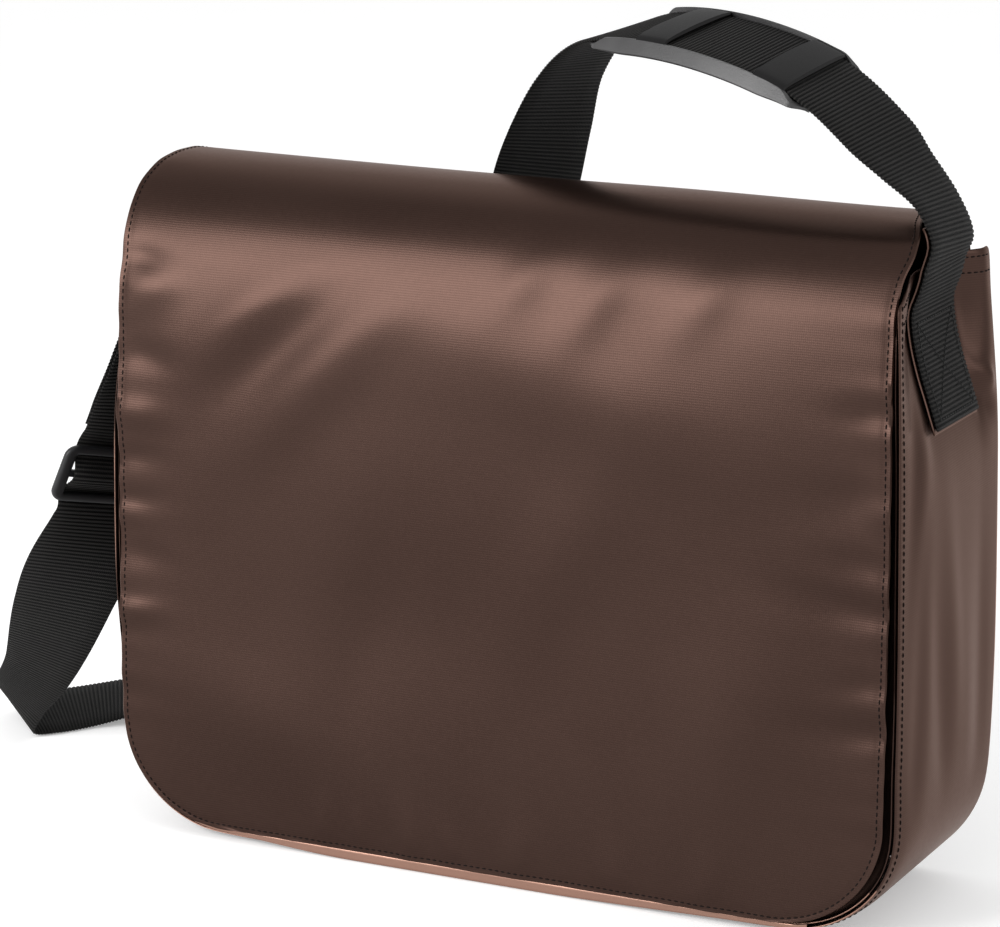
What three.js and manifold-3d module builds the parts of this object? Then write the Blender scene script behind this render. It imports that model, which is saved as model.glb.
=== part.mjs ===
// A shoulder bag of coated cloth with a large flap and a webbing strap.
// Millimetres, +Z up. The bag stands on its bottom with the origin under its middle;
// X runs across its width, the flap hangs at the front (-Y) and the strap passes behind (+Y).
import * as THREE from 'three';
import { ParametricGeometry } from 'three/addons/geometries/ParametricGeometry.js';
import { mergeVertices } from 'three/addons/utils/BufferGeometryUtils.js';
import Module from 'manifold-3d';

const wasm = await Module();
wasm.setup();

// Sizes of the cloth body
const CLOTH = 1.2;
const HEM_CLOTH = 2.2;
const GAP = 0.3;
const HEM_HEIGHT = 285;
const HEM_BAND = 14;
const BACK_BULGE = 2.5;
const FRONT_WALL = -47.5;
const BACK_WALL = 49.5;
const FRONT_LEAN = 16;
const LEAN_FOOT = 235;
const LEAN_HEAD = 300;
const CORNER_RADIUS = 54;
const CORNER_STEPS = 6;

// The hollow pressed into each end below the hem, where the strap is sewn on; the hem stands out again
const HOLLOW_DEPTH = 16;
const HOLLOW_FOOT = 195;
const HOLLOW_HEAD = 268;
const HEM_FLARE = 6;
const FLARE_FOOT = 264;
const FLARE_HEAD = 288;

// The strip's edges: drawn in along the bottom, drooping and pinched at the hem, tucked in at the left
const BOTTOM_DRAW = 1.5;
const BOTTOM_BACK = 4.6;
const FRONT_DROOP = 8;
const BACK_PINCH = 4;
const LEFT_TUCK = 20;
const TUCK_BACK = -20;
const TUCK_REACH = 36;

// The flap
const FLAP_LEFT = 188.6;
const FLAP_RIGHT = 183.5;
const FLAP_FRONT = -53;
const FLAP_BOTTOM = 4.5;
const FLAP_CORNER = 50;

// The webbing, its backing tabs, the pad and the slide
const WEB_WIDTH = 50;
const WEB = 1.8;
const TAB_WIDTH = 53;
const TAB_FOOT = 216;
const TAB_HEAD = 283;
const SEWN_Y = 7;
const SEWN_FOOT = 218;
const PAD_WALL = 3;
const PAD_PLATE = 4.4;
const PAD_BAND = 1.8;
const PAD_TIP = 6;
const SLIDE = { width: 63, height: 30, thick: 3, bar: 4.5, slot: 8, corner: 6 };

// Half widths of the bag at heights above the corner
const SIDE_ROWS = [
  { z: 54, half: 191.8 },
  { z: 82, half: 192.4 },
  { z: 108, half: 192.6 },
  { z: 136, half: 192.3 },
  { z: 164, half: 191.8 },
  { z: 186, half: 191.4 },
  { z: 202, half: 191.1 },
  { z: 216, half: 190.8 },
  { z: 230, half: 190.5 },
  { z: 243, half: 190.2 },
  { z: 256, half: 189.9 },
  { z: 267, half: 189.5 },
  { z: 276, half: 189.1 },
  { z: HEM_HEIGHT, half: 188.6 },
];

// Columns of the end strip, front edge to back edge: their shares of the hollow, of the drawing-in
// along the bottom, of the front corner's droop at the hem and of the back corner's pinch there
const STRIP_COLUMNS = [
  { y: -56, hollow: 0, draw: 1, droop: 1, pinch: 0 },
  { y: -51, hollow: 0.06, draw: 0.75, droop: 0.9, pinch: 0 },
  { y: -45, hollow: 0.2, draw: 0.3, droop: 0.7, pinch: 0 },
  { y: -38, hollow: 0.42, draw: 0, droop: 0.4, pinch: 0 },
  { y: -29, hollow: 0.76, draw: 0, droop: 0.12, pinch: 0 },
  { y: -20, hollow: 1, draw: 0, droop: 0, pinch: 0 },
  { y: -7, hollow: 1, draw: 0, droop: 0, pinch: 0 },
  { y: 7, hollow: 1, draw: 0, droop: 0, pinch: 0 },
  { y: 20, hollow: 1, draw: 0, droop: 0, pinch: 0 },
  { y: 34, hollow: 1, draw: 0, droop: 0, pinch: 0 },
  { y: 38, hollow: 0.78, draw: 0, droop: 0, pinch: 0.2 },
  { y: 42.5, hollow: 0.3, draw: 0, droop: 0, pinch: 0.5 },
  { y: 47, hollow: 0, draw: 0, droop: 0, pinch: 0.8 },
  { y: 51, hollow: 0, draw: 0, droop: 0, pinch: 0.9 },
  { y: 56, hollow: 0, draw: 0, droop: 0, pinch: 1 },
];

// The flap from its seam on the back wall, over the top, to where the front corners begin,
// with its reach to the left and to the right
const FLAP_ROWS = [
  { y: 52.2, z: 256, left: 182, right: 180 },
  { y: 52.2, z: 268, left: 182, right: 179 },
  { y: 52.2, z: 279, left: 182, right: 178 },
  { y: 51, z: 289, left: 183, right: 177 },
  { y: 45.5, z: 297, left: 184, right: 174.5 },
  { y: 34, z: 303, left: 185, right: 171.5 },
  { y: 19, z: 306.4, left: 186, right: 171.5 },
  { y: 5, z: 307.3, left: 187, right: 174 },
  { y: -9, z: 305.8, left: 187.5, right: 177.5 },
  { y: -21, z: 301.8, left: 188, right: 181.5 },
  { y: -31.5, z: 294.5, left: 188.3, right: 183.5 },
  { y: -39.8, z: 284.5, left: 188, right: 182 },
  { y: -45.6, z: 272.5, left: 187.5, right: 181.8 },
  { y: -49, z: 259, left: 187, right: 182.4 },
  { y: -51.2, z: 244, left: 186.8, right: 183 },
  { y: -52.5, z: 227, left: 187, right: FLAP_RIGHT },
  { y: FLAP_FRONT, z: 205, left: 187.2, right: FLAP_RIGHT },
  { y: FLAP_FRONT, z: 180, left: 187.5, right: FLAP_RIGHT },
  { y: FLAP_FRONT, z: 155, left: 187.8, right: FLAP_RIGHT },
  { y: FLAP_FRONT, z: 130, left: 188.1, right: FLAP_RIGHT },
  { y: FLAP_FRONT, z: 106, left: 188.4, right: FLAP_RIGHT },
  { y: FLAP_FRONT, z: 83, left: FLAP_LEFT, right: FLAP_RIGHT },
];

// Soft folds of the flap's front: middle, direction, half length, half width and height outward
const FLAP_FOLDS = [
  { x: -126, z: 242, turn: 37, long: 40, wide: 14, out: 2.4 },
  { x: -108, z: 232, turn: 40, long: 40, wide: 12, out: -1.2 },
  { x: -89, z: 218, turn: 43, long: 50, wide: 15, out: 2.8 },
  { x: 168, z: 192, turn: 0, long: 26, wide: 12, out: -1.8 },
  { x: 60, z: 222, turn: -14, long: 90, wide: 24, out: 1.6 },
  { x: -20, z: 120, turn: 8, long: 120, wide: 44, out: -1.6 },
  { x: 120, z: 95, turn: 70, long: 70, wide: 30, out: 1.5 },
  { x: -120, z: 60, turn: -20, long: 70, wide: 28, out: 1.4 },
];

// The strap's middle line and the direction across it, starting front edge to back edge;
// the strap makes half a turn on its way, so at the left end the same direction points forward
const ARCH_ROWS = [
  { x: 186, y: 7, z: 295.5, ax: 0, ay: 1, az: -0.06 },
  { x: 179, y: 7.3, z: 310.5, ax: 0, ay: 1, az: -0.03 },
  { x: 164.5, y: 8, z: 325, ax: 0.07, ay: 0.98, az: 0.07 },
  { x: 152, y: 9.5, z: 336.5, ax: 0.16, ay: 0.96, az: 0.14 },
  { x: 123, y: 15, z: 357, ax: 0.15, ay: 0.97, az: 0.16 },
  { x: 76, y: 25, z: 370.5, ax: 0.18, ay: 0.97, az: 0.16 },
  { x: 29, y: 38, z: 372, ax: 0.2, ay: 0.96, az: 0.13 },
  { x: 3, y: 50, z: 363, ax: 0.12, ay: 0.98, az: 0 },
  { x: -16, y: 60, z: 345, ax: 0.18, ay: 0.97, az: -0.08 },
  { x: -29, y: 67, z: 320, ax: 0.38, ay: 0.92, az: -0.1 },
  { x: -39, y: 73, z: 295, ax: 0.46, ay: 0.86, az: -0.18 },
  { x: -51, y: 83, z: 260, ax: 0.46, ay: 0.86, az: -0.2 },
  { x: -72, y: 96, z: 210, ax: 0.38, ay: 0.9, az: -0.25 },
  { x: -102, y: 109, z: 155, ax: 0.25, ay: 0.93, az: -0.3 },
  { x: -142, y: 120, z: 100, ax: 0, ay: 0.95, az: -0.3 },
  { x: -190, y: 126, z: 52, ax: -0.25, ay: 0.95, az: -0.15 },
  { x: -240, y: 119, z: 20, ax: -0.42, ay: 0.88, az: 0.02 },
  { x: -284, y: 96, z: 6, ax: -0.52, ay: 0.84, az: 0.1 },
  { x: -309, y: 65, z: 4.5, ax: -0.68, ay: 0.7, az: 0.14 },
  { x: -318, y: 53, z: 7.5, ax: -0.76, ay: 0.6, az: 0.2 },
  { x: -313, y: 46, z: 16, ax: -0.84, ay: 0.5, az: 0.16 },
  { x: -287, y: 25, z: 41, ax: -0.94, ay: 0.3, az: 0.1 },
  { x: -260, y: 8.5, z: 83, ax: -0.96, ay: -0.18, az: 0.1 },
];

// The slide's middle, the direction across it and the direction up through it
const SLIDE_MIDDLE = new THREE.Vector3(-228.5, 8, 148);
const SLIDE_ACROSS = new THREE.Vector3(-0.46, -0.86, 0.2);
const SLIDE_UP = new THREE.Vector3(0.41, 0.01, 0.91);

// The strap's weave through the slide: distance up the slide and depth out of its front face
const WEAVE = 3.4;
const WEAVE_ROWS = [
  { up: -23, facing: -1.4 },
  { up: -12.5, facing: -WEAVE },
  { up: 0, facing: WEAVE },
  { up: 12.5, facing: -WEAVE },
  { up: 23, facing: -1.4 },
];

// From the slide up to the fold over the left hem
const RISE_ROWS = [
  { x: -214, y: 7.5, z: 184, ax: -0.44, ay: -0.87, az: 0.15 },
  { x: -206.8, y: 6.5, z: 207, ax: -0.25, ay: -0.96, az: 0.05 },
  { x: -199.6, y: 7, z: 238, ax: -0.03, ay: -1, az: 0 },
  { x: -196.5, y: 7, z: 268, ax: 0, ay: -1, az: 0 },
  { x: -193.8, y: 7, z: 283, ax: 0, ay: -1, az: 0 },
  { x: -191.8, y: 7, z: 291.5, ax: 0, ay: -1, az: 0 },
  { x: -187.6, y: 7, z: 295, ax: 0, ay: -1, az: 0 },
  { x: -184, y: 7, z: 292, ax: 0, ay: -1, az: 0 },
];

// Where the strap lies sewn on an end, from its cut end to the hem
const SEWN_HEIGHTS = [SEWN_FOOT, 230, 243, 256, 267, 276, 285];

// Rises smoothly from 0 to 1 between two values.
function smooth(from, to, value) {
  const t = Math.min(1, Math.max(0, (value - from) / (to - from)));
  return t * t * (3 - 2 * t);
}

// Turns a surface into a closed wall: half the wall either side, and a strip round each open edge.
function closedWall(surface, slices, stacks, wall) {
  let middle = new ParametricGeometry((u, v, point) => point.copy(surface(u, v)), slices, stacks);
  middle.deleteAttribute('normal');
  middle.deleteAttribute('uv');
  middle = mergeVertices(middle, 1e-4);
  const faces = [];
  const corners = middle.index.array;
  for (let i = 0; i < corners.length; i += 3) {
    const [a, b, c] = [corners[i], corners[i + 1], corners[i + 2]];
    if (a !== b && b !== c && c !== a) {
      faces.push([a, b, c]);
    }
  }
  middle.setIndex(faces.flat());
  middle.computeVertexNormals();
  const places = middle.attributes.position;
  const normals = middle.attributes.normal;
  const points = [];
  for (const side of [0.5, -0.5]) {
    for (let i = 0; i < places.count; i += 1) {
      const place = new THREE.Vector3().fromBufferAttribute(places, i);
      const normal = new THREE.Vector3().fromBufferAttribute(normals, i);
      const reach = typeof wall === 'function' ? wall(place) : wall;
      points.push(...place.addScaledVector(normal, side * reach).toArray());
    }
  }
  const far = places.count;
  const edges = new Set();
  for (const [a, b, c] of faces) {
    edges.add(`${a} ${b}`).add(`${b} ${c}`).add(`${c} ${a}`);
  }
  const index = [];
  for (const [a, b, c] of faces) {
    index.push(a, b, c, far + c, far + b, far + a);
    for (const [p, q] of [[a, b], [b, c], [c, a]]) {
      if (!edges.has(`${q} ${p}`)) {
        index.push(q, p, far + p, q, far + p, far + q);
      }
    }
  }
  const solid = new THREE.BufferGeometry();
  solid.setAttribute('position', new THREE.Float32BufferAttribute(points, 3));
  solid.setIndex(index);
  return solid;
}

// Turns a shape into a solid that can be cut, and back.
function toSolid(geometry) {
  let plain = geometry.clone();
  plain.deleteAttribute('normal');
  plain.deleteAttribute('uv');
  plain = mergeVertices(plain, 1e-4);
  return new wasm.Manifold(new wasm.Mesh({
    numProp: 3,
    vertProperties: new Float32Array(plain.attributes.position.array),
    triVerts: new Uint32Array(plain.index.array),
  }));
}

function fromSolid(solid) {
  const mesh = solid.getMesh();
  const geometry = new THREE.BufferGeometry();
  geometry.setAttribute('position', new THREE.Float32BufferAttribute(mesh.vertProperties, 3));
  geometry.setIndex(Array.from(mesh.triVerts));
  return geometry;
}

// The U of the bag's outline seen from the front, left hem round the bottom to right hem.
function outlineRows() {
  const right = [];
  const corner = SIDE_ROWS[0].half - CORNER_RADIUS;
  for (const part of [0, 0.45]) {
    right.push({ x: corner * part, z: 0 });
  }
  for (let i = 0; i < CORNER_STEPS; i += 1) {
    const turn = (Math.PI / 2) * (i / CORNER_STEPS);
    right.push({
      x: corner + CORNER_RADIUS * Math.sin(turn),
      z: CORNER_RADIUS * (1 - Math.cos(turn)),
    });
  }
  for (const row of SIDE_ROWS) {
    right.push({ x: row.half, z: row.z });
  }
  const left = right.slice(1).reverse().map((row) => ({ x: -row.x, z: row.z }));
  return [...left, ...right];
}

const OUTLINE = outlineRows();

// A column's share at any depth between the front edge and the back edge.
function columnShare(y, name) {
  const last = STRIP_COLUMNS.length - 1;
  const depth = Math.min(STRIP_COLUMNS[last].y, Math.max(STRIP_COLUMNS[0].y, y));
  let share = 0;
  for (let i = 1; i <= last; i += 1) {
    const [front, back] = [STRIP_COLUMNS[i - 1], STRIP_COLUMNS[i]];
    if (depth >= front.y && depth <= back.y) {
      share = front[name] + ((back[name] - front[name]) * (depth - front.y)) / (back.y - front.y);
    }
  }
  return share;
}

// How far an end is pressed inward at a height and a depth.
function hollow(y, z) {
  const pressed = HOLLOW_DEPTH * smooth(HOLLOW_FOOT, HOLLOW_HEAD, z);
  const flared = HEM_FLARE * smooth(FLARE_FOOT, FLARE_HEAD, z);
  return (pressed - flared) * columnShare(y, 'hollow');
}

// How near a height is to the bottom, where the front edge is drawn in.
function lowShare(z) {
  return 1 - smooth(60, 120, z);
}

// How far the strip is drawn in towards its front edge along the bottom.
function drawIn(y, z) {
  return BOTTOM_DRAW * columnShare(y, 'draw') * lowShare(z);
}

// How far the left end's front edge is tucked back under the flap, by height.
function leftTuck(x, z) {
  return x < 0 ? LEFT_TUCK * smooth(185, HEM_HEIGHT, z) : 0;
}

// The direction into the bag from each row of the outline.
function inwardAt(i) {
  const before = OUTLINE[Math.max(0, i - 1)];
  const after = OUTLINE[Math.min(OUTLINE.length - 1, i + 1)];
  const run = new THREE.Vector2(after.x - before.x, after.z - before.z).normalize();
  return { x: -run.y, z: run.x };
}

// The end strip is thicker along its hem, where the cloth is folded double.
function stripWall(place) {
  const fold = smooth(HEM_HEIGHT - HEM_BAND - 2, HEM_HEIGHT - HEM_BAND, place.z);
  return CLOTH + (HEM_CLOTH - CLOTH) * fold;
}

// A point of the end strip: u across its depth, v along the U.
function stripSurface(u, v) {
  const i = Math.round(v * (OUTLINE.length - 1));
  const row = OUTLINE[i];
  const into = inwardAt(i);
  const column = STRIP_COLUMNS[Math.round(u * (STRIP_COLUMNS.length - 1))];
  const { y } = column;
  const near = smooth(200, HEM_HEIGHT, row.z);
  const draw = drawIn(y, row.z);
  const press = hollow(y, row.z) + BACK_PINCH * column.pinch * near;
  const belly = BACK_BULGE * Math.sin(Math.PI * Math.min(1, row.z / HEM_HEIGHT)) * smooth(30, 56, y);
  const tuck = leftTuck(row.x, row.z) * Math.max(0, (TUCK_BACK - y) / TUCK_REACH);
  return new THREE.Vector3(
    row.x + into.x * draw - Math.sign(row.x) * press,
    y + belly + tuck + BOTTOM_BACK * column.draw * lowShare(row.z),
    row.z + into.z * draw - FRONT_DROOP * column.droop * near + CLOTH / 2,
  );
}

// The end's half width at the sewn strap, by height.
function endHalf(z) {
  let half = SIDE_ROWS[0].half;
  for (let i = 1; i < SIDE_ROWS.length; i += 1) {
    const [low, high] = [SIDE_ROWS[i - 1], SIDE_ROWS[i]];
    if (z > low.z) {
      half = low.half + (high.half - low.half) * Math.min(1, (z - low.z) / (high.z - low.z));
    }
  }
  return half - hollow(SEWN_Y, z);
}

// The outline of a wall, set in from the strip, closed along the top.
function wallLoop() {
  const loop = OUTLINE.map((row, i) => {
    const inset = stripWall(row) / 2 + GAP + CLOTH / 2 + 0.05;
    const into = inwardAt(i);
    return { x: row.x + into.x * inset, z: row.z + into.z * inset + CLOTH / 2, into };
  });
  const top = loop[loop.length - 1];
  for (const part of [0.75, 0.5, 0.25, 0, -0.25, -0.5, -0.75]) {
    loop.push({ x: top.x * part, z: top.z, into: { x: 0, z: 0 } });
  }
  return loop;
}

const LOOP = wallLoop();

// Rings of a wall from its middle to its turned edge: share of the outline and depth of the edge
const WALL_RINGS = [
  { share: 0, turned: 0 },
  { share: 0.3, turned: 0 },
  { share: 0.58, turned: 0 },
  { share: 0.82, turned: 0 },
  { share: 0.985, turned: 0 },
  { share: 1, turned: 0.3 },
  { share: 1, turned: 1 },
];

// A point of the front or back wall: u round the outline, v from the middle to the turned edge.
function wallSurface(u, v, wall) {
  const place = LOOP[Math.round(u * LOOP.length) % LOOP.length];
  const ring = WALL_RINGS[Math.round(v * (WALL_RINGS.length - 1))];
  const share = ring.share;
  const atTop = smooth(HEM_HEIGHT - 12, HEM_HEIGHT - 2, place.z);
  const tucked = leftTuck(place.x, place.z) * wall.tuck;
  const kept = (1 - wall.flatTop * atTop) * (1 - 0.85 * (tucked / LEFT_TUCK));
  const turned = ring.turned * (wall.turn - wall.short * lowShare(place.z)) * kept;
  const soft = wall.bulge * (1 - share * share);
  const high = wall.middle + (place.z - wall.middle) * share;
  const y = wall.y + wall.out * (soft + turned) + wall.lean * smooth(LEAN_FOOT, LEAN_HEAD, high);
  const tuckShare = tucked / TUCK_REACH;
  const column = (y - TUCK_BACK * tuckShare) / (1 - tuckShare) + wall.tuck * 2;
  const pressed = wall.tuck * hollow(column, place.z) * (place.x / -LOOP[0].x);
  const pinched = wall.pinch * smooth(200, HEM_HEIGHT, place.z) * (place.x / -LOOP[0].x);
  const draw = drawIn(y - wall.short * lowShare(place.z), place.z) + wall.room;
  const drop = wall.tuck * wall.droop * smooth(200, HEM_HEIGHT, high);
  return new THREE.Vector3(
    (place.x + place.into.x * draw - pressed - pinched) * share,
    y,
    high + place.into.z * draw * share - drop,
  );
}

// Rows of the flap with its rounded lower corners.
function flapRows() {
  const rows = FLAP_ROWS.map((row) => ({ ...row }));
  const steps = 8;
  for (let i = 0; i <= steps; i += 1) {
    const turn = (Math.PI / 2) * (i / steps);
    const rounded = FLAP_CORNER * (1 - Math.cos(turn));
    const z = FLAP_BOTTOM + FLAP_CORNER * (1 - Math.sin(turn));
    rows.push({ y: FLAP_FRONT, z, left: FLAP_LEFT - rounded, right: FLAP_RIGHT - rounded });
  }
  return rows;
}

const FLAP_LINES = flapRows();

// How far the soft folds push the flap's front outward.
function flapFold(x, z) {
  let out = 0;
  for (const fold of FLAP_FOLDS) {
    const turn = THREE.MathUtils.degToRad(fold.turn);
    const along = (x - fold.x) * Math.cos(turn) + (z - fold.z) * Math.sin(turn);
    const across = (z - fold.z) * Math.cos(turn) - (x - fold.x) * Math.sin(turn);
    out += fold.out * Math.exp(-((along / fold.long) ** 2) - (across / fold.wide) ** 2);
  }
  return out;
}

// A point of the flap: u across its width, v from the back seam to the lower edge.
function flapSurface(u, v) {
  const row = FLAP_LINES[Math.round(v * (FLAP_LINES.length - 1))];
  const x = -row.left + (row.left + row.right) * u;
  const edge = smooth(1, 0.9, Math.abs(2 * u - 1));
  const front = smooth(-44, -51, row.y);
  const out = flapFold(x, row.z) * front * (0.35 + 0.65 * edge);
  const sag = smooth(296, 306, row.z) * (1.6 * Math.sin(Math.PI * u) + 2.2 * smooth(40, 180, x));
  return new THREE.Vector3(x, row.y - out, row.z - sag);
}

// The strap's stations from the right sewn end to the left one.
function strapRows() {
  const sewn = (side) => SEWN_HEIGHTS.map((z) => {
    const lift = stripWall({ z }) / 2 + CLOTH + WEB / 2 + 3.6 * GAP + 0.7 * smooth(243, 276, z);
    const x = side * (endHalf(z) + lift);
    return { x, y: SEWN_Y, z: z + CLOTH / 2, ax: 0, ay: side, az: 0 };
  });
  const across = SLIDE_ACROSS.clone().normalize();
  const facing = new THREE.Vector3().crossVectors(SLIDE_UP, across).normalize();
  const up = new THREE.Vector3().crossVectors(across, facing);
  const weave = WEAVE_ROWS.map((row) => {
    const place = SLIDE_MIDDLE.clone().addScaledVector(up, row.up).addScaledVector(facing, row.facing);
    return { x: place.x, y: place.y, z: place.z, ax: across.x, ay: across.y, az: across.z };
  });
  return [...sewn(1), ...ARCH_ROWS, ...weave, ...RISE_ROWS, ...sewn(-1).reverse()];
}

const STRAP_ROWS = strapRows();
const STRAP_LINE = new THREE.CatmullRomCurve3(
  STRAP_ROWS.map((row) => new THREE.Vector3(row.x, row.y, row.z)),
);
const STRAP_ACROSS = new THREE.CatmullRomCurve3(
  STRAP_ROWS.map((row) => new THREE.Vector3(row.ax, row.ay, row.az)),
);
const LAST_ROW = STRAP_ROWS.length - 1;
const STRAP_STEPS = 4;

// The strap at a station number: its middle, the direction across and the direction out of its inner face.
function strapAt(station) {
  const t = Math.min(1, Math.max(0, station / LAST_ROW));
  const middle = STRAP_LINE.getPoint(t);
  const along = STRAP_LINE.getTangent(t);
  const across = STRAP_ACROSS.getPoint(t).normalize();
  const inner = new THREE.Vector3().crossVectors(along, across).normalize();
  return { middle, across, inner };
}

// A layer that follows the strap between two stations, shifted inward by an amount.
function strapLayer(layer) {
  const shift = (layer.top + layer.bottom) / 2;
  const surface = (u, v) => {
    const at = strapAt(layer.from + (layer.to - layer.from) * v);
    const half = layer.half(v);
    const side = (layer.aside || 0) + (2 * u - 1) * half;
    return at.middle.addScaledVector(at.across, side).addScaledVector(at.inner, shift);
  };
  return closedWall(surface, 1, layer.steps, layer.bottom - layer.top);
}

function strapGeometry() {
  const half = () => WEB_WIDTH / 2;
  return strapLayer({ from: 0, to: LAST_ROW, half, top: -WEB / 2, bottom: WEB / 2, steps: LAST_ROW * STRAP_STEPS });
}

// The stations of the strap that the right tab goes on lining above the hem
const TAB_LINED = [6.25, 6.5, 6.75, 7, 7.25, 7.5, 7.75, 8];

// The station numbers of the pad's ends and of its two cross bands
const PAD_ENDS = [10.75, 13.5];
const PAD_BANDS = [[11.1, 11.42], [12.33, 12.63]];

// The pad is a curved tray under the strap with two bands over it.
function padGeometry() {
  const [from, to] = PAD_ENDS;
  const inside = WEB_WIDTH / 2 + 0.5;
  const clear = WEB / 2 + GAP;
  const taper = (v) => inside + PAD_WALL - PAD_TIP * (1 - smooth(0, 0.12, Math.min(v, 1 - v)));
  const body = toSolid(strapLayer({
    from, to, half: taper, top: -clear - PAD_BAND, bottom: clear + PAD_PLATE, steps: 14,
  }));
  const cut = (start, end, top, bottom) => toSolid(strapLayer({
    from: start, to: end, half: () => inside, top, bottom, steps: 10,
  }));
  const [right, left] = PAD_BANDS;
  let pad = body.subtract(strapRoom(from - 0.25, to + 0.25, inside, clear));
  for (const [start, end] of [[from - 0.2, right[0]], [right[1], left[0]], [left[1], to + 0.2]]) {
    pad = pad.subtract(cut(start, end, -clear - PAD_BAND - 3, 0));
  }
  return fromSolid(pad);
}

// The room the strap itself takes inside the pad, in the strap's own steps.
function strapRoom(from, to, inside, clear) {
  const steps = (to - from) * STRAP_STEPS;
  return toSolid(strapLayer({ from, to, half: () => inside, top: -clear, bottom: clear, steps }));
}

// A rounded rectangle about the origin.
function roundedRectangle(Kind, width, height, radius) {
  const shape = new Kind();
  const [x, y] = [width / 2, height / 2];
  shape.moveTo(-x + radius, -y);
  shape.lineTo(x - radius, -y);
  shape.absarc(x - radius, -y + radius, radius, -Math.PI / 2, 0);
  shape.lineTo(x, y - radius);
  shape.absarc(x - radius, y - radius, radius, 0, Math.PI / 2);
  shape.lineTo(-x + radius, y);
  shape.absarc(-x + radius, y - radius, radius, Math.PI / 2, Math.PI);
  shape.lineTo(-x, -y + radius);
  shape.absarc(-x + radius, -y + radius, radius, Math.PI, Math.PI * 1.5);
  return shape;
}

// The slide is a plate with two slots, so three bars.
function slideGeometry() {
  const plate = roundedRectangle(THREE.Shape, SLIDE.width - 1, SLIDE.height - 1, SLIDE.corner - 0.5);
  const reach = (SLIDE.bar + SLIDE.slot) / 2;
  for (const side of [-1, 1]) {
    const slot = roundedRectangle(THREE.Path, WEB_WIDTH + 3, SLIDE.slot + 0.8, 1.5);
    const points = slot.getPoints(3).map((p) => new THREE.Vector2(p.x, p.y + side * reach));
    plate.holes.push(new THREE.Path(points));
  }
  const geometry = new THREE.ExtrudeGeometry(plate, {
    depth: SLIDE.thick - 1,
    bevelEnabled: true,
    bevelThickness: 0.5,
    bevelSize: 0.5,
    bevelSegments: 1,
    curveSegments: 3,
  });
  geometry.translate(0, 0, -(SLIDE.thick - 1) / 2);
  const across = SLIDE_ACROSS.clone().normalize();
  const facing = new THREE.Vector3().crossVectors(SLIDE_UP, across).normalize();
  const up = new THREE.Vector3().crossVectors(across, facing);
  const turn = new THREE.Matrix4().makeBasis(across.clone().negate(), up, facing.clone().negate());
  turn.setPosition(SLIDE_MIDDLE);
  geometry.applyMatrix4(turn);
  return geometry;
}

// A thin cloth tab between an end and the sewn strap, which lines the strap up to a station.
function tabGeometry(side, lined) {
  const heights = [TAB_FOOT, ...SEWN_HEIGHTS.slice(1, -1), TAB_HEAD];
  const rows = heights.length + lined.length;
  const surface = (u, v) => {
    const row = Math.round(v * (rows - 1));
    const across = (u - 0.5) * TAB_WIDTH;
    if (row >= heights.length) {
      const at = strapAt(lined[row - heights.length]);
      at.middle.addScaledVector(at.inner, WEB / 2 + 2 * GAP + CLOTH / 2);
      return at.middle.addScaledVector(at.across, across);
    }
    const z = heights[row];
    const lift = stripWall({ z }) / 2 + GAP + CLOTH / 2;
    return new THREE.Vector3(side * (endHalf(z) + lift), SEWN_Y + across, z + CLOTH / 2);
  };
  return closedWall(surface, 1, rows - 1, CLOTH);
}

// The strap's free end lies along the strap above the slide.
const RISE_START = SEWN_HEIGHTS.length + ARCH_ROWS.length + WEAVE_ROWS.length;
const TAIL_STATIONS = [RISE_START - 0.5, RISE_START + 1.75];

function tailGeometry() {
  const [from, to] = TAIL_STATIONS;
  const near = WEB / 2 + 2 * GAP;
  return strapLayer({
    from, to, half: () => WEB_WIDTH / 2, aside: 2, top: -near - WEB, bottom: -near,
    steps: (to - from) * STRAP_STEPS,
  });
}

const COLOURS = {
  cloth: { color: 0x5a4840, roughness: 0.45, metalness: 0 },
  webbing: { color: 0x1d1d1e, roughness: 0.85, metalness: 0 },
  plastic: { color: 0x262628, roughness: 0.5, metalness: 0 },
};

const bag = new THREE.Group();
bag.name = 'shoulder_bag';

// Adds a piece, turned right side out if its faces look inward.
function add(name, geometry, look) {
  let solid = geometry.clone();
  solid.deleteAttribute('normal');
  solid.deleteAttribute('uv');
  solid = mergeVertices(solid, 1e-4);
  const corners = solid.index.array;
  const place = solid.attributes.position;
  const [a, b, c] = [new THREE.Vector3(), new THREE.Vector3(), new THREE.Vector3()];
  let volume = 0;
  for (let i = 0; i < corners.length; i += 3) {
    a.fromBufferAttribute(place, corners[i]);
    b.fromBufferAttribute(place, corners[i + 1]);
    c.fromBufferAttribute(place, corners[i + 2]);
    volume += a.dot(b.cross(c));
  }
  if (volume < 0) {
    const turned = [];
    for (let i = 0; i < corners.length; i += 3) {
      turned.push(corners[i], corners[i + 2], corners[i + 1]);
    }
    solid.setIndex(turned);
  }
  solid.computeVertexNormals();
  const piece = new THREE.Mesh(solid, new THREE.MeshStandardMaterial(COLOURS[look]));
  piece.name = name;
  bag.add(piece);
}

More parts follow.
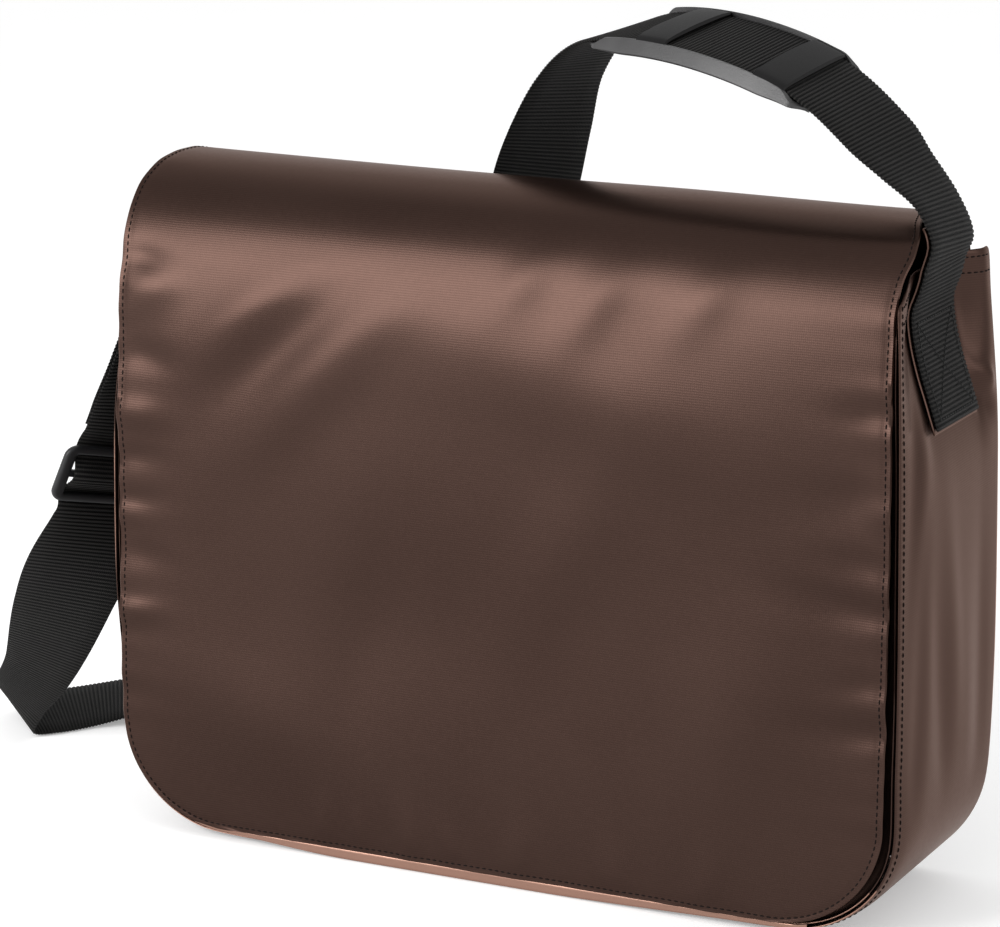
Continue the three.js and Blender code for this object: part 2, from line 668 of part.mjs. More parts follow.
const frontWall = {
  y: FRONT_WALL, out: -1, bulge: -1.5, turn: 7.6, middle: 140, lean: FRONT_LEAN, flatTop: 0.7,
  tuck: 1, pinch: 0, droop: 3, room: 0.3, short: 4.4,
};
const backWall = {
  y: BACK_WALL, out: 1, bulge: BACK_BULGE, turn: 6.2, middle: 130, lean: 0, flatTop: 1,
  tuck: 0, pinch: BACK_PINCH, droop: 0, room: 0, short: 0,
};
const around = LOOP.length;
const rings = WALL_RINGS.length - 1;
add('front_panel', closedWall((u, v) => wallSurface(u, v, frontWall), around, rings, CLOTH), 'cloth');
add('back_panel', closedWall((u, v) => wallSurface(u, v, backWall), around, rings, CLOTH), 'cloth');
add('gusset', closedWall(stripSurface, STRIP_COLUMNS.length - 1, OUTLINE.length - 1, stripWall), 'cloth');
add('flap', closedWall(flapSurface, 28, FLAP_LINES.length - 1, CLOTH), 'cloth');
add('strap_backing_right', tabGeometry(1, TAB_LINED), 'cloth');
add('strap_backing_left', tabGeometry(-1, []), 'cloth');
add('strap', strapGeometry(), 'webbing');
add('strap_tail', tailGeometry(), 'webbing');
add('shoulder_pad', padGeometry(), 'plastic');
add('slide_adjuster', slideGeometry(), 'plastic');

export default bag;
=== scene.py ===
# %% [markdown]
# # A shoulder bag of coated cloth
# This script dresses a bag that was built as plain solids. Each solid gets a finer piece in its
# place: cloth with folds, webbing with ribs, thread that can be seen, moulded plastic.
# Everything is in metres in the frame of the solids: X across the bag, -Y to the front, Z up.

# %% Load the solids
import math
import bmesh
import bpy
import numpy as np
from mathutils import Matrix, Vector
from mathutils.bvhtree import BVHTree


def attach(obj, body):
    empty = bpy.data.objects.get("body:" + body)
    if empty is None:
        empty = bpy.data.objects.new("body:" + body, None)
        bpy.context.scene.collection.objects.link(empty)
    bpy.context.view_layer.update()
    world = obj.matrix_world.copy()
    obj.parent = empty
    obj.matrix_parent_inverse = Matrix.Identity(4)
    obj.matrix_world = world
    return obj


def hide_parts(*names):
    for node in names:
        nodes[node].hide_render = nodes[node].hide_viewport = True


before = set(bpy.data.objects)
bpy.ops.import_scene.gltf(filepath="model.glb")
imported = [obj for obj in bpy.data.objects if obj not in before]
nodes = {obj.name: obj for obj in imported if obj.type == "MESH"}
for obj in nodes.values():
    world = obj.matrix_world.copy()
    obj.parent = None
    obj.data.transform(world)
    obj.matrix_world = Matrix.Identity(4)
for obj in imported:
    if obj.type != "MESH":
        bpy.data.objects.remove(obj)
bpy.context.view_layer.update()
MM = 0.001
print("solids:", sorted(nodes))

# %% [markdown]
# ## The camera
# A long lens from the front right and a little above, as a product picture is taken. A camera
# can be aimed with a constraint, but turning it once towards a point leaves nothing to evaluate.

# %% Place the camera
SENSOR = 36.0
FOCAL_PIXELS = 3840.06
FRAME_WIDTH = 1000
camera_place = Vector((0.7208, -1.4914, 0.5822))
camera_target = Vector((-0.0204, -0.0023, 0.1789))
camera_data = bpy.data.cameras.new("camera")
camera_data.sensor_width = SENSOR
camera_data.lens = SENSOR * FOCAL_PIXELS / FRAME_WIDTH
camera = bpy.data.objects.new("camera", camera_data)
camera.location = camera_place
camera.rotation_euler = (camera_target - camera_place).to_track_quat("-Z", "Y").to_euler()
bpy.context.scene.collection.objects.link(camera)
bpy.context.scene.camera = camera
print("lens", round(camera_data.lens, 2), "mm")

# %% [markdown]
# ## Shader sums in Python
# A finish is a network of nodes. Wiring each node by hand hides the idea, so one small class
# wraps a socket: adding or multiplying two of them adds the Math node that does it.

# %% A socket that takes part in sums
class Shade:
    """A node's output that can be added, multiplied and passed on."""

    def __init__(self, tree, socket=None):
        self.tree = tree
        self.socket = socket

    def node(self, kind, settings=None, sockets=None, output=0):
        made = self.tree.nodes.new("ShaderNode" + kind)
        for name, value in (settings or {}).items():
            setattr(made, name, value)
        for name, value in (sockets or {}).items():
            if isinstance(value, Shade):
                self.tree.links.new(value.socket, made.inputs[name])
            else:
                made.inputs[name].default_value = value
        return Shade(self.tree, made.outputs[output])

    def math(self, operation, first, second=0.0):
        return self.node("Math", {"operation": operation}, {0: first, 1: second})

    def __add__(self, other):
        return self.math("ADD", self, other)

    __radd__ = __add__

    def __sub__(self, other):
        return self.math("SUBTRACT", self, other)

    def __rsub__(self, other):
        return self.math("SUBTRACT", other, self)

    def __mul__(self, other):
        return self.math("MULTIPLY", self, other)

    __rmul__ = __mul__

    def wave(self, pitch, shift=0.0):
        """A sine of this value with the given pitch, from -1 to 1."""
        return self.math("SINE", self * (2 * math.pi / pitch) + shift)

    def rise(self, low, high):
        """0 below low, 1 above high, smooth between."""
        limits = {"Value": self, "From Min": low, "From Max": high}
        return self.node("MapRange", {"interpolation_type": "SMOOTHSTEP"}, limits)

    def blend(self, first, second):
        """The colour first where this is 0 and second where it is 1."""
        return self.node("Mix", {"data_type": "RGBA"}, {0: self, 6: first, 7: second}, 2)


print("shader sums:", [name for name in vars(Shade) if not name.startswith("_")])

# %% [markdown]
# ## Starting a finish
# Every finish begins the same way: a new material, its shader with the values that are the same all
# over, and the cloth coordinates. Texture coordinates could come from an unwrapped map, but these
# pieces know where they lie in their own cloth, so each stores that as an attribute.

# %% Helpers for a finish
def start_finish(name, **constants):
    """A new material: its shader and the cloth coordinates of the piece that wears it."""
    material = bpy.data.materials.new(name)
    material.use_nodes = True
    shader = material.node_tree.nodes["Principled BSDF"]
    for socket, value in constants.items():
        shader.inputs[socket.replace("_", " ")].default_value = value
    start = Shade(material.node_tree)
    lay = start.node("Attribute", {"attribute_name": "lay"}, output="Vector")
    parts = [start.node("SeparateXYZ", sockets={0: lay}, output=i) for i in range(3)]
    return material, shader, start, parts


def feed(shader, **sockets):
    """Links worked-out values to the shader's sockets."""
    for name, value in sockets.items():
        value.tree.links.new(value.socket, shader.inputs[name.replace("_", " ")])


def grain(start, scale, detail=2.0, rough=0.5):
    """Even noise over a piece, in its own object space."""
    place = start.node("TexCoord", output="Object")
    inputs = {"Vector": place, "Scale": scale, "Detail": detail, "Roughness": rough}
    return start.node("TexNoise", sockets=inputs)


def relief(start, height, distance, strength=1.0):
    """A bump of that many metres from a height between -1 and 1."""
    inputs = {"Height": height, "Distance": distance, "Strength": strength}
    return start.node("Bump", sockets=inputs)


print("finish helpers ready")

# %% [markdown]
# ## The coated cloth
# The bag is cut from tarpaulin: a woven base under a brown coating with a fine ribbed grain.
# The coating is pigmented right through, so its highlights are brown and not white: part of the
# shader is set as a metal, whose reflections take the base colour. The grain has to follow the
# cloth, so each piece stores where it lies in it, in metres: across, along and in from its edge.
# Near every edge the colour turns a lighter tan, partly wear and partly painted light.

# %% Make the cloth finish
GRAIN_PITCH = 1.05 * MM
cloth, shader, start, (across, along, inset) = start_finish(
    "coated_cloth", Metallic=0.94, IOR=1.5, Specular_Tint=(0.95, 0.78, 0.72, 1.0))
patches = grain(start, 9.0, 3.0)
specks = grain(start, 420.0, 2.0, 0.7)
wobble = grain(start, 45.0, 2.0) * (0.8 * MM)
ribs = (along + wobble).wave(GRAIN_PITCH)
threads = across.wave(0.9 * MM)
# Lighter tan near the edges: partly wear, partly painted light where an edge faces the floor or a lamp
wear_and_lit_edge = 1 - inset.rise(0.15 * MM, 0.8 * MM)
tone = patches.rise(0.3, 0.7).blend((0.0365, 0.0204, 0.0162, 1), (0.043, 0.0246, 0.0196, 1))
tone = (ribs * 0.3 + specks * 0.5).blend(tone, (0.053, 0.0312, 0.0252, 1))
tone = (wear_and_lit_edge * 0.8).blend(tone, (0.36, 0.21, 0.16, 1))
gloss = 0.29 + patches * 0.06 + specks * 0.08 - ribs * 0.015
height = ribs * 0.25 + threads * 0.1 + specks * 0.5
feed(shader, Base_Color=tone, Roughness=gloss, Normal=relief(start, height, 0.03 * MM, 0.8))
print("cloth grain every", GRAIN_PITCH, "m")

# %% [markdown]
# ## Webbing, thread, pad and slide finishes
# Webbing is woven of fat cross ribs. The ribs are modelled; its finish adds the yarns that run over
# each rib and the dull sheen of nylon, and paints light on the rib crests and shade in the grooves.
# Moulded plastic gets a fine spark texture and a little dust, because a flat black reads as a hole.
# The pad's tray and bands are one rubber, in a lighter copy with painted sheen and a darker copy
# with painted shade.

# %% Make the other finishes
RIB_PITCH = 2.0 * MM
webbing, shader, start, (across, along, _) = start_finish(
    "black_webbing", IOR=1.22, Sheen_Weight=0.02, Sheen_Roughness=0.5)
yarns = (across + along * 0.35).wave(0.95 * MM)
ribs = along.wave(RIB_PITCH, -math.pi / 2)
fluff = grain(start, 700.0, 2.0, 0.8)
dust = grain(start, 30.0, 3.0)
# Rib crests painted light and grooves painted near-black shade, mixed with yarn and fluff tone
rib_shade_and_yarn_tone = (ribs * 0.5 + yarns * 0.12 + fluff * 0.3 + 0.3).rise(0.2, 1.05)
tone = rib_shade_and_yarn_tone.blend((0.0006, 0.0006, 0.0006, 1), (0.018, 0.0168, 0.0158, 1))
tone = (dust.rise(0.5, 0.9) * 0.15).blend(tone, (0.020, 0.019, 0.018, 1))
height = yarns * 0.6 + fluff * 0.7 + ribs * 0.4
feed(shader, Base_Color=tone, Roughness=0.62 + fluff * 0.2, Normal=relief(start, height, 0.12 * MM))

thread, shader, start, (across, along, _) = start_finish("brown_thread", IOR=1.2)
twist = (along + across * 0.8).wave(0.5 * MM)
tone = (twist * 0.5 + 0.5).blend((0.004, 0.0023, 0.002, 1), (0.011, 0.0065, 0.0055, 1))
feed(shader, Base_Color=tone, Roughness=0.75 + twist * 0.1)

black_thread, shader, start, (across, along, _) = start_finish("black_thread", IOR=1.3)
twist = (along + across * 0.8).wave(0.5 * MM)
tone = (twist * 0.5 + 0.5).blend((0.004, 0.004, 0.004, 1), (0.014, 0.014, 0.014, 1))
feed(shader, Base_Color=tone, Roughness=0.5 + twist * 0.1)


def moulded(name, dark, light, rough, spark, bend):
    """Dark moulded plastic or rubber with a fine spark texture."""
    made, face, begin, _ = start_finish(name, IOR=bend)
    pits = grain(begin, 1500.0, 1.0, 0.6)
    cloud = grain(begin, 25.0, 3.0)
    shade = cloud.rise(0.35, 0.75).blend(dark, light)
    bump = relief(begin, pits + cloud * 0.5, spark)
    feed(face, Base_Color=shade, Roughness=rough + pits * 0.12 + cloud * 0.08, Normal=bump)
    return made


# One rubber in two copies: the tray lighter grey as painted sheen, the bands darker as painted shade
pad_rubber_painted_sheen = moulded("pad_rubber_painted_sheen", (0.015, 0.0145, 0.015, 1), (0.046, 0.0445, 0.0455, 1),
                     rough=0.3, spark=0.08 * MM, bend=1.5)
band_rubber_painted_shade = moulded("band_rubber_painted_shade", (0.004, 0.0038, 0.004, 1), (0.008, 0.0077, 0.008, 1),
                      rough=0.4, spark=0.03 * MM, bend=1.24)
slide_plastic = moulded("slide_plastic", (0.009, 0.009, 0.01, 1), (0.016, 0.016, 0.017, 1),
                        rough=0.34, spark=0.02 * MM, bend=1.42)
finishes = [cloth, webbing, thread, black_thread, pad_rubber_painted_sheen, band_rubber_painted_shade, slide_plastic]
print("finishes:", [finish.name for finish in finishes])

# %% [markdown]
# ## Helpers for cloth
# A sheet of cloth is a grid of points. It could be given its thickness with a Solidify modifier;
# doing it here keeps the two faces, the rounded edge and the cloth coordinates in our own hands.

# %% Pieces, grids and shells
def smooth(start, end, value):
    """Rises smoothly from 0 to 1 between two values."""
    t = np.clip((np.asarray(value, float) - start) / (end - start), 0, 1)
    return t * t * (3 - 2 * t)


def new_piece(name, points, faces, finish, lay=None, stands_for=(), sharp=50):
    """A mesh in metres from points in millimetres, faces turned outward, with its cloth coordinates."""
    mesh = bpy.data.meshes.new(name)
    mesh.from_pydata((np.asarray(points, float) * MM).tolist(), [], [list(face) for face in faces])
    work = bmesh.new()
    work.from_mesh(mesh)
    bmesh.ops.recalc_face_normals(work, faces=work.faces)
    work.to_mesh(mesh)
    work.free()
    mesh.shade_smooth()
    mesh.set_sharp_from_angle(angle=math.radians(sharp))
    if lay is not None:
        stored = mesh.attributes.new("lay", "FLOAT_VECTOR", "POINT")
        stored.data.foreach_set("vector", (np.asarray(lay, float) * MM).astype(np.float32).ravel())
    mesh.materials.append(finish)
    piece = bpy.data.objects.new(name, mesh)
    bpy.context.scene.collection.objects.link(piece)
    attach(piece, "root")
    if stands_for:
        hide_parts(*stands_for)
    return piece


def unit(vectors):
    return vectors / np.maximum(np.linalg.norm(vectors, axis=-1, keepdims=True), 1e-9)


def grid_normals(grid):
    """Directions out of a grid of points, rows by columns."""
    return unit(np.cross(np.gradient(grid, axis=1), np.gradient(grid, axis=0)))


def shell(grid, lay, wall):
    """A closed sheet from its middle grid: two faces and a rounded edge between them."""
    rows, columns = grid.shape[:2]
    normals = grid_normals(grid)
    wall = np.broadcast_to(np.asarray(wall, float), (rows, columns))[..., None]
    number = np.arange(rows * columns).reshape(rows, columns)
    loop = np.concatenate([number[0, :-1], number[:-1, -1], number[-1, :0:-1], number[:0:-1, 0]])
    inner = grid.copy()
    inner[0], inner[-1] = grid[1], grid[-2]
    inner[:, 0], inner[:, -1] = inner[:, 1], inner[:, -2]
    flat, walls = grid.reshape(-1, 3), wall.reshape(-1, 1)
    rim = flat[loop] + unit(flat[loop] - inner.reshape(-1, 3)[loop]) * walls[loop] * 0.42
    points = np.concatenate([(grid + normals * wall / 2).reshape(-1, 3),
                             (grid - normals * wall / 2).reshape(-1, 3), rim])
    a, b, c, d = number[:-1, :-1], number[:-1, 1:], number[1:, 1:], number[1:, :-1]
    front = np.stack([d, c, b, a], -1).reshape(-1, 4)
    back = np.stack([a, b, c, d], -1).reshape(-1, 4) + rows * columns
    ring = np.arange(len(loop)) + 2 * rows * columns
    after, ring_after = np.roll(loop, -1), np.roll(ring, -1)
    side = np.stack([loop, after, ring_after, ring], -1)
    other = np.stack([ring, ring_after, after + rows * columns, loop + rows * columns], -1)
    lay = lay.reshape(-1, 3)
    return points, np.concatenate([front, back, side, other]), np.concatenate([lay, lay, lay[loop]])


print("cloth helpers ready")

# %% [markdown]
# ## The strap's route
# The strap leaves the right end, arches up through the pad, drops behind the bag, loops on the
# floor at the left, passes the slide and comes back to the left end. Its route is a smooth curve
# through the same stations as its solid, each with the direction across the webbing. A curve
# object with a twist could carry a band too, but here the twist is given where it is known.

# %% The strap's stations
WEB_WIDTH, WEB = 50.0, 1.8
SEWN_Y = 7.0
# Height, and half the width of the bag there
SEWN_ROWS = [
    (218, 190.76), (230, 190.5), (243, 190.2), (256, 189.9), (267, 189.5), (276, 189.1), (285, 188.6),
]
# Middle of the webbing as x, y, z, then the direction across it
ARCH_ROWS = [
    (186, 7, 295.5, 0, 1, -0.06), (179, 7.3, 310.5, 0, 1, -0.03), (164.5, 8, 325, 0.07, 0.98, 0.07),
    (152, 9.5, 336.5, 0.16, 0.96, 0.14), (123, 15, 357, 0.15, 0.97, 0.16),
    (76, 25, 370.5, 0.18, 0.97, 0.16), (29, 38, 372, 0.2, 0.96, 0.13), (3, 50, 363, 0.12, 0.98, 0),
    (-16, 60, 345, 0.18, 0.97, -0.08), (-29, 67, 320, 0.38, 0.92, -0.1),
    (-39, 73, 295, 0.46, 0.86, -0.18), (-51, 83, 260, 0.46, 0.86, -0.2),
    (-72, 96, 210, 0.38, 0.9, -0.25), (-102, 109, 155, 0.25, 0.93, -0.3),
    (-142, 120, 100, 0, 0.95, -0.3), (-190, 126, 52, -0.25, 0.95, -0.15),
    (-240, 119, 20, -0.42, 0.88, 0.02), (-284, 96, 6, -0.52, 0.84, 0.1),
    (-309, 65, 4.5, -0.68, 0.7, 0.14), (-318, 53, 7.5, -0.76, 0.6, 0.2),
    (-313, 46, 16, -0.84, 0.5, 0.16), (-287, 25, 41, -0.94, 0.3, 0.1), (-260, 8.5, 83, -0.96, -0.18, 0.1),
]
SLIDE_MIDDLE = np.array([-228.5, 8, 148])
SLIDE_ACROSS = unit(np.array([-0.46, -0.86, 0.2]))
SLIDE_FACING = unit(np.cross([0.41, 0.01, 0.91], SLIDE_ACROSS))
SLIDE_UP = np.cross(SLIDE_ACROSS, SLIDE_FACING)
# Up from the slide's middle, and out of its face
WEAVE_ROWS = [(-23, -1.4), (-12.5, -3.4), (0, 3.4), (12.5, -3.4), (23, -1.4)]
# The same columns as the arch
RISE_ROWS = [
    (-214, 7.5, 184, -0.44, -0.87, 0.15), (-206.8, 6.5, 207, -0.25, -0.96, 0.05),
    (-199.6, 7, 238, -0.03, -1, 0), (-196.5, 7, 268, 0, -1, 0), (-193.8, 7, 283, 0, -1, 0),
    (-191.8, 7, 291.5, 0, -1, 0), (-187.6, 7, 295, 0, -1, 0), (-184, 7, 292, 0, -1, 0),
]


def sewn_rows(side):
    """Stations where the strap lies sewn on an end, pressed in below the hem and out again at it."""
    rows = []
    for z, half in SEWN_ROWS:
        pressed = 16 * float(smooth(195, 268, z)) - 6 * float(smooth(264, 288, z))
        hem = 0.5 * float(smooth(269, 271, z))
        lift = 0.6 + hem + 1.2 + WEB / 2 + 1.08 + 0.7 * float(smooth(243, 276, z))
        rows.append((side * (half - pressed + lift), SEWN_Y, z + 0.6, 0, side, 0))
    return rows


weave_rows = [(*(SLIDE_MIDDLE + SLIDE_UP * up + SLIDE_FACING * facing), *SLIDE_ACROSS)
              for up, facing in WEAVE_ROWS]
route_rows = np.array(sewn_rows(1) + ARCH_ROWS + weave_rows + RISE_ROWS + sewn_rows(-1)[::-1])
print("strap stations:", len(route_rows))

# %% [markdown]
# A curve through stations that lie near and far from each other swings out where they crowd. The
# centripetal kind, which spaces its stations by the root of their distance, doesn't.

# %% The curve through the stations
def through(rows, stations):
    """A centripetal curve through rows of points, at station numbers."""
    rows = np.vstack([2 * rows[0] - rows[1], rows, 2 * rows[-1] - rows[-2]])
    first = np.clip(np.floor(stations).astype(int), 0, len(rows) - 4)
    t = (stations - first)[:, None]
    p0, p1, p2, p3 = (rows[first + i] for i in range(4))
    steps = (p1 - p0, p2 - p1, p3 - p2)
    d0, d1, d2 = (np.linalg.norm(step, axis=1)[:, None] ** 0.5 for step in steps)
    d1 = np.where(d1 < 1e-4, 1.0, d1)
    d0, d2 = np.where(d0 < 1e-4, d1, d0), np.where(d2 < 1e-4, d1, d2)
    m1 = d1 * ((p1 - p0) / d0 - (p2 - p0) / (d0 + d1) + (p2 - p1) / d1)
    m2 = d1 * ((p2 - p1) / d1 - (p3 - p1) / (d1 + d2) + (p3 - p2) / d2)
    return p1 + m1 * t + (3 * (p2 - p1) - 2 * m1 - m2) * t**2 + (2 * (p1 - p2) + m1 + m2) * t**3


def route(stations):
    """The strap's middle, the direction across and the direction out of its inner face."""
    stations = np.asarray(stations, float)
    middle = through(route_rows[:, :3], stations)
    step = 1e-3
    ahead, behind = np.minimum(stations + step, len(route_rows) - 1), np.maximum(stations - step, 0)
    run = through(route_rows[:, :3], ahead) - through(route_rows[:, :3], behind)
    wide = unit(through(route_rows[:, 3:], stations))
    return middle, wide, unit(np.cross(run, wide))


def even_stations(first, last, step):
    """Station numbers an even distance apart along the strap, and those distances."""
    fine = np.linspace(first, last, int(abs(last - first) * 160))
    middle = route(fine)[0]
    run = np.concatenate([[0], np.cumsum(np.linalg.norm(np.diff(middle, axis=0), axis=1))])
    wanted = np.linspace(0, run[-1], max(2, round(run[-1] / step) + 1))
    return np.interp(wanted, run, fine), wanted


LAST_STATION = len(route_rows) - 1
strap_length = even_stations(0, LAST_STATION, 5)[1][-1]
print("strap length", round(strap_length), "mm")

# %% [markdown]
# ## The webbing
# Ribs two millimetres apart run across the webbing. A bump map would show them head on but leave
# the outline smooth, so the band is lofted with four steps to each rib and its edges are round.

# %% Loft the strap and its free end
RIB_RISE = 0.5
STEPS_PER_RIB = 4


def loft(sections):
    """Faces of a tube through sections of points, rows by columns, with its two ends closed."""
    rows, columns = sections.shape[:2]
    number = np.arange(rows * columns).reshape(rows, columns)
    turned = np.roll(number, -1, axis=1)
    faces = np.stack([number[:-1], turned[:-1], turned[1:], number[1:]], -1).reshape(-1, 4).tolist()
    return faces + [number[0].tolist()[::-1], number[-1].tolist()]


def webbing_band(name, first, last, aside, shift, stands_for):
    """A band of webbing between two stations, moved sideways and off the route."""
    stations, run = even_stations(first, last, RIB_PITCH / MM / STEPS_PER_RIB)
    middle, wide, inner = route(stations)
    half = WEB_WIDTH / 2
    sides = np.array([-half + 0.7, -half * 0.55, 0, half * 0.55, half - 0.7])
    rib = np.tile([0.0, 0.75, 1.0, 0.75], len(run))[:len(run)]
    thick = WEB / 2 - RIB_RISE * (1 - rib)
    rows = [(s, -thick) for s in sides] + [(half, 0 * thick)]
    rows += [(s, thick) for s in sides[::-1]] + [(-half, 0 * thick)]
    points, lay = [], []
    for side, out in rows:
        off = (out + shift)[:, None]
        points.append(middle + wide * (side + aside) + inner * off)
        lay.append(np.stack([np.full_like(run, side), run, half - abs(side) + 0 * run], -1))
    points, lay = np.stack(points, 1), np.stack(lay, 1)
    return new_piece(name, points.reshape(-1, 3), loft(points), webbing, lay.reshape(-1, 3),
                     stands_for, sharp=60)


strap = webbing_band("webbing_strap", 0, LAST_STATION, 0.0, 0.0, ["strap"])
RISE_START = len(SEWN_ROWS) + len(ARCH_ROWS) + len(WEAVE_ROWS)
TAIL_FIRST, TAIL_LAST, TAIL_ASIDE, TAIL_GAP = RISE_START - 0.85, RISE_START + 1.75, -0.4, 0.6
tail = webbing_band("webbing_free_end", TAIL_FIRST, TAIL_LAST, TAIL_ASIDE, -WEB - TAIL_GAP, ["strap_tail"])
print("webbing faces:", len(strap.data.polygons), len(tail.data.polygons))

# %% [markdown]
# ## The flap
# One big sheet, sewn to the back wall, rolls over the top and hangs down the front. It is a grid
# laid on a profile curve: a cloth simulation would drape it, but the folds in the picture are
# few and known, so each is one soft push out of the profile.

# %% The flap's profile
FLAP_LEFT, FLAP_RIGHT, FLAP_BOTTOM, FLAP_CORNER, FLAP_FRONT = 188.6, 183.5, 5.2, 50.0, -53.0
CLOTH = 1.2
# Profile as y and z, then the reach to the left and to the right
FLAP_ROWS = np.array([
    (52.2, 256, 181, 180), (52.2, 268, 181, 179), (52.2, 279, 180, 178), (51, 289, 181.6, 177),
    (45.5, 297, 184, 174.5), (34, 303, 185, 171.5), (19, 306.4, 186, 171.5), (5, 307.3, 187, 174),
    (-9, 305.8, 187.5, 177.5), (-21, 301.8, 188, 181.5), (-31.5, 294.5, 188.3, 183.5),
    (-39.8, 284.5, 188, 181.6), (-45.6, 272.5, 187.5, 181.2), (-49, 259, 187, 181.7),
    (-51.2, 244, 186.8, 182.3), (-52.5, 227, 187, 182.9), (FLAP_FRONT, 205, 187.2, FLAP_RIGHT),
    (FLAP_FRONT, 106, 188.4, FLAP_RIGHT), (FLAP_FRONT, FLAP_BOTTOM, FLAP_LEFT, FLAP_RIGHT),
])
# Middle as x and z, turn in degrees, half length, half width and rise
FLAP_FOLDS = [
    (-126, 242, 37, 40, 14, 2.6), (-108, 232, 40, 40, 12, -1.6), (-89, 218, 43, 50, 15, 3.0),
    (168, 192, 0, 26, 12, -2.2), (60, 222, -14, 90, 24, 2.0), (-20, 120, 8, 120, 44, -2.4),
    (120, 95, 70, 70, 30, 2.4), (-120, 60, -20, 70, 28, 2.2), (30, 150, 62, 60, 20, 1.8),
    (-60, 110, 75, 60, 18, -1.6),
]
# The same columns, for the short folds near the edges
SMALL_FOLDS = [
    (-174, 252, 15, 16, 9, 1.9), (-178, 268, -10, 14, 6, -1.5), (-177, 225, -8, 18, 7, -2.0),
    (-178, 196, 4, 16, 8, 1.7), (-180, 177, 0, 14, 5, -1.5), (-181, 156, 6, 14, 5, -1.4),
    (-181, 132, -6, 16, 6, -1.3), (-181, 104, 8, 14, 5, 1.2), (172, 168, 0, 18, 7, -1.6),
    (166, 147, -10, 28, 9, -2.2), (172, 93, 0, 24, 8, -1.9), (176, 232, 5, 14, 6, -1.2),
    (175, 116, 8, 16, 6, -1.1), (12, 272, 52, 20, 9, 0.9), (46, 264, 55, 22, 10, 1.0),
    (98, 272, 52, 22, 10, 0.9), (-84, 14, 84, 15, 6, 1.1), (-66, 15, 95, 13, 5, 1.0),
    (-40, 14, 99, 17, 7, 1.2), (14, 15, 80, 16, 8, 0.9), (60, 13, 96, 14, 7, 1.0),
    (-20, 14, 108, 12, 5, 0.8), (104, 15, 78, 17, 8, 0.9),
]
fine_rows = through(FLAP_ROWS, np.linspace(0, len(FLAP_ROWS) - 1, 1200))
flap_run = np.concatenate([[0], np.cumsum(np.hypot(*np.diff(fine_rows[:, :2], axis=0).T))])
FLAP_LENGTH = flap_run[-1]


def flap_profile(run):
    """Depth, height and reach to the left and right at distances along the flap."""
    return np.stack([np.interp(run, flap_run, fine_rows[:, i]) for i in range(4)], -1)


def bumps(x, z, folds):
    """The sum of soft folds: middle, direction, half length, half width and height."""
    out = np.zeros_like(x)
    for fold_x, fold_z, turn, long, wide, rise in folds:
        c, s = math.cos(math.radians(turn)), math.sin(math.radians(turn))
        run, side = (x - fold_x) * c + (z - fold_z) * s, (z - fold_z) * c - (x - fold_x) * s
        out += rise * np.exp(-((run / long) ** 2) - (side / wide) ** 2)
    return out


print("flap length", round(FLAP_LENGTH), "mm")

# %% [markdown]
# Sewing gathers an edge a little, so short puckers stand along it and die out inward. They are
# sums of a few sines whose pitches don't agree, which never repeat over the length of an edge.

# %% The flap's edges
PUCKER_RISE, PUCKER_FADE, SEAM_DIP, SWELL = 0.7, 13.0, 0.3, 0.35
SAG_MIDDLE, SAG_RIGHT = 1.6, 2.2


def corner_reach(z):
    """How far the rounded lower corners pull the side edges in."""
    low = np.clip(FLAP_BOTTOM + FLAP_CORNER - z, 0, FLAP_CORNER)
    return FLAP_CORNER - np.sqrt(FLAP_CORNER**2 - low**2)


def flap_edge_distance(x, z, left, right):
    """Distance in from the nearest free edge."""
    half = np.where(x < 0, left, right)
    side, low = half - np.abs(x), z - FLAP_BOTTOM
    past_side = FLAP_CORNER - np.minimum(side, FLAP_CORNER)
    past_low = FLAP_CORNER - np.minimum(low, FLAP_CORNER)
    into = FLAP_CORNER - np.hypot(past_side, past_low)
    in_corner = (side < FLAP_CORNER) & (low < FLAP_CORNER)
    return np.maximum(np.where(in_corner, into, np.minimum(side, low)), 0)


def puckers(run, seed):
    """An uneven ripple along an edge."""
    pitches = np.array([23.0, 37.0, 14.5]) * (1 + 0.07 * seed)
    return sum(np.sin(2 * math.pi * run / p + seed * (i + 1.3)) for i, p in enumerate(pitches)) / 2.2


print("puckers rise", PUCKER_RISE, "mm and fade over", PUCKER_FADE, "mm")

# %% [markdown]
# Everything that moves the flap off its profile is summed up as one push along the profile's
# normal. Modifiers such as Displace could do the same, but a function can be asked again later
# where a seam or a stitch has to lie.

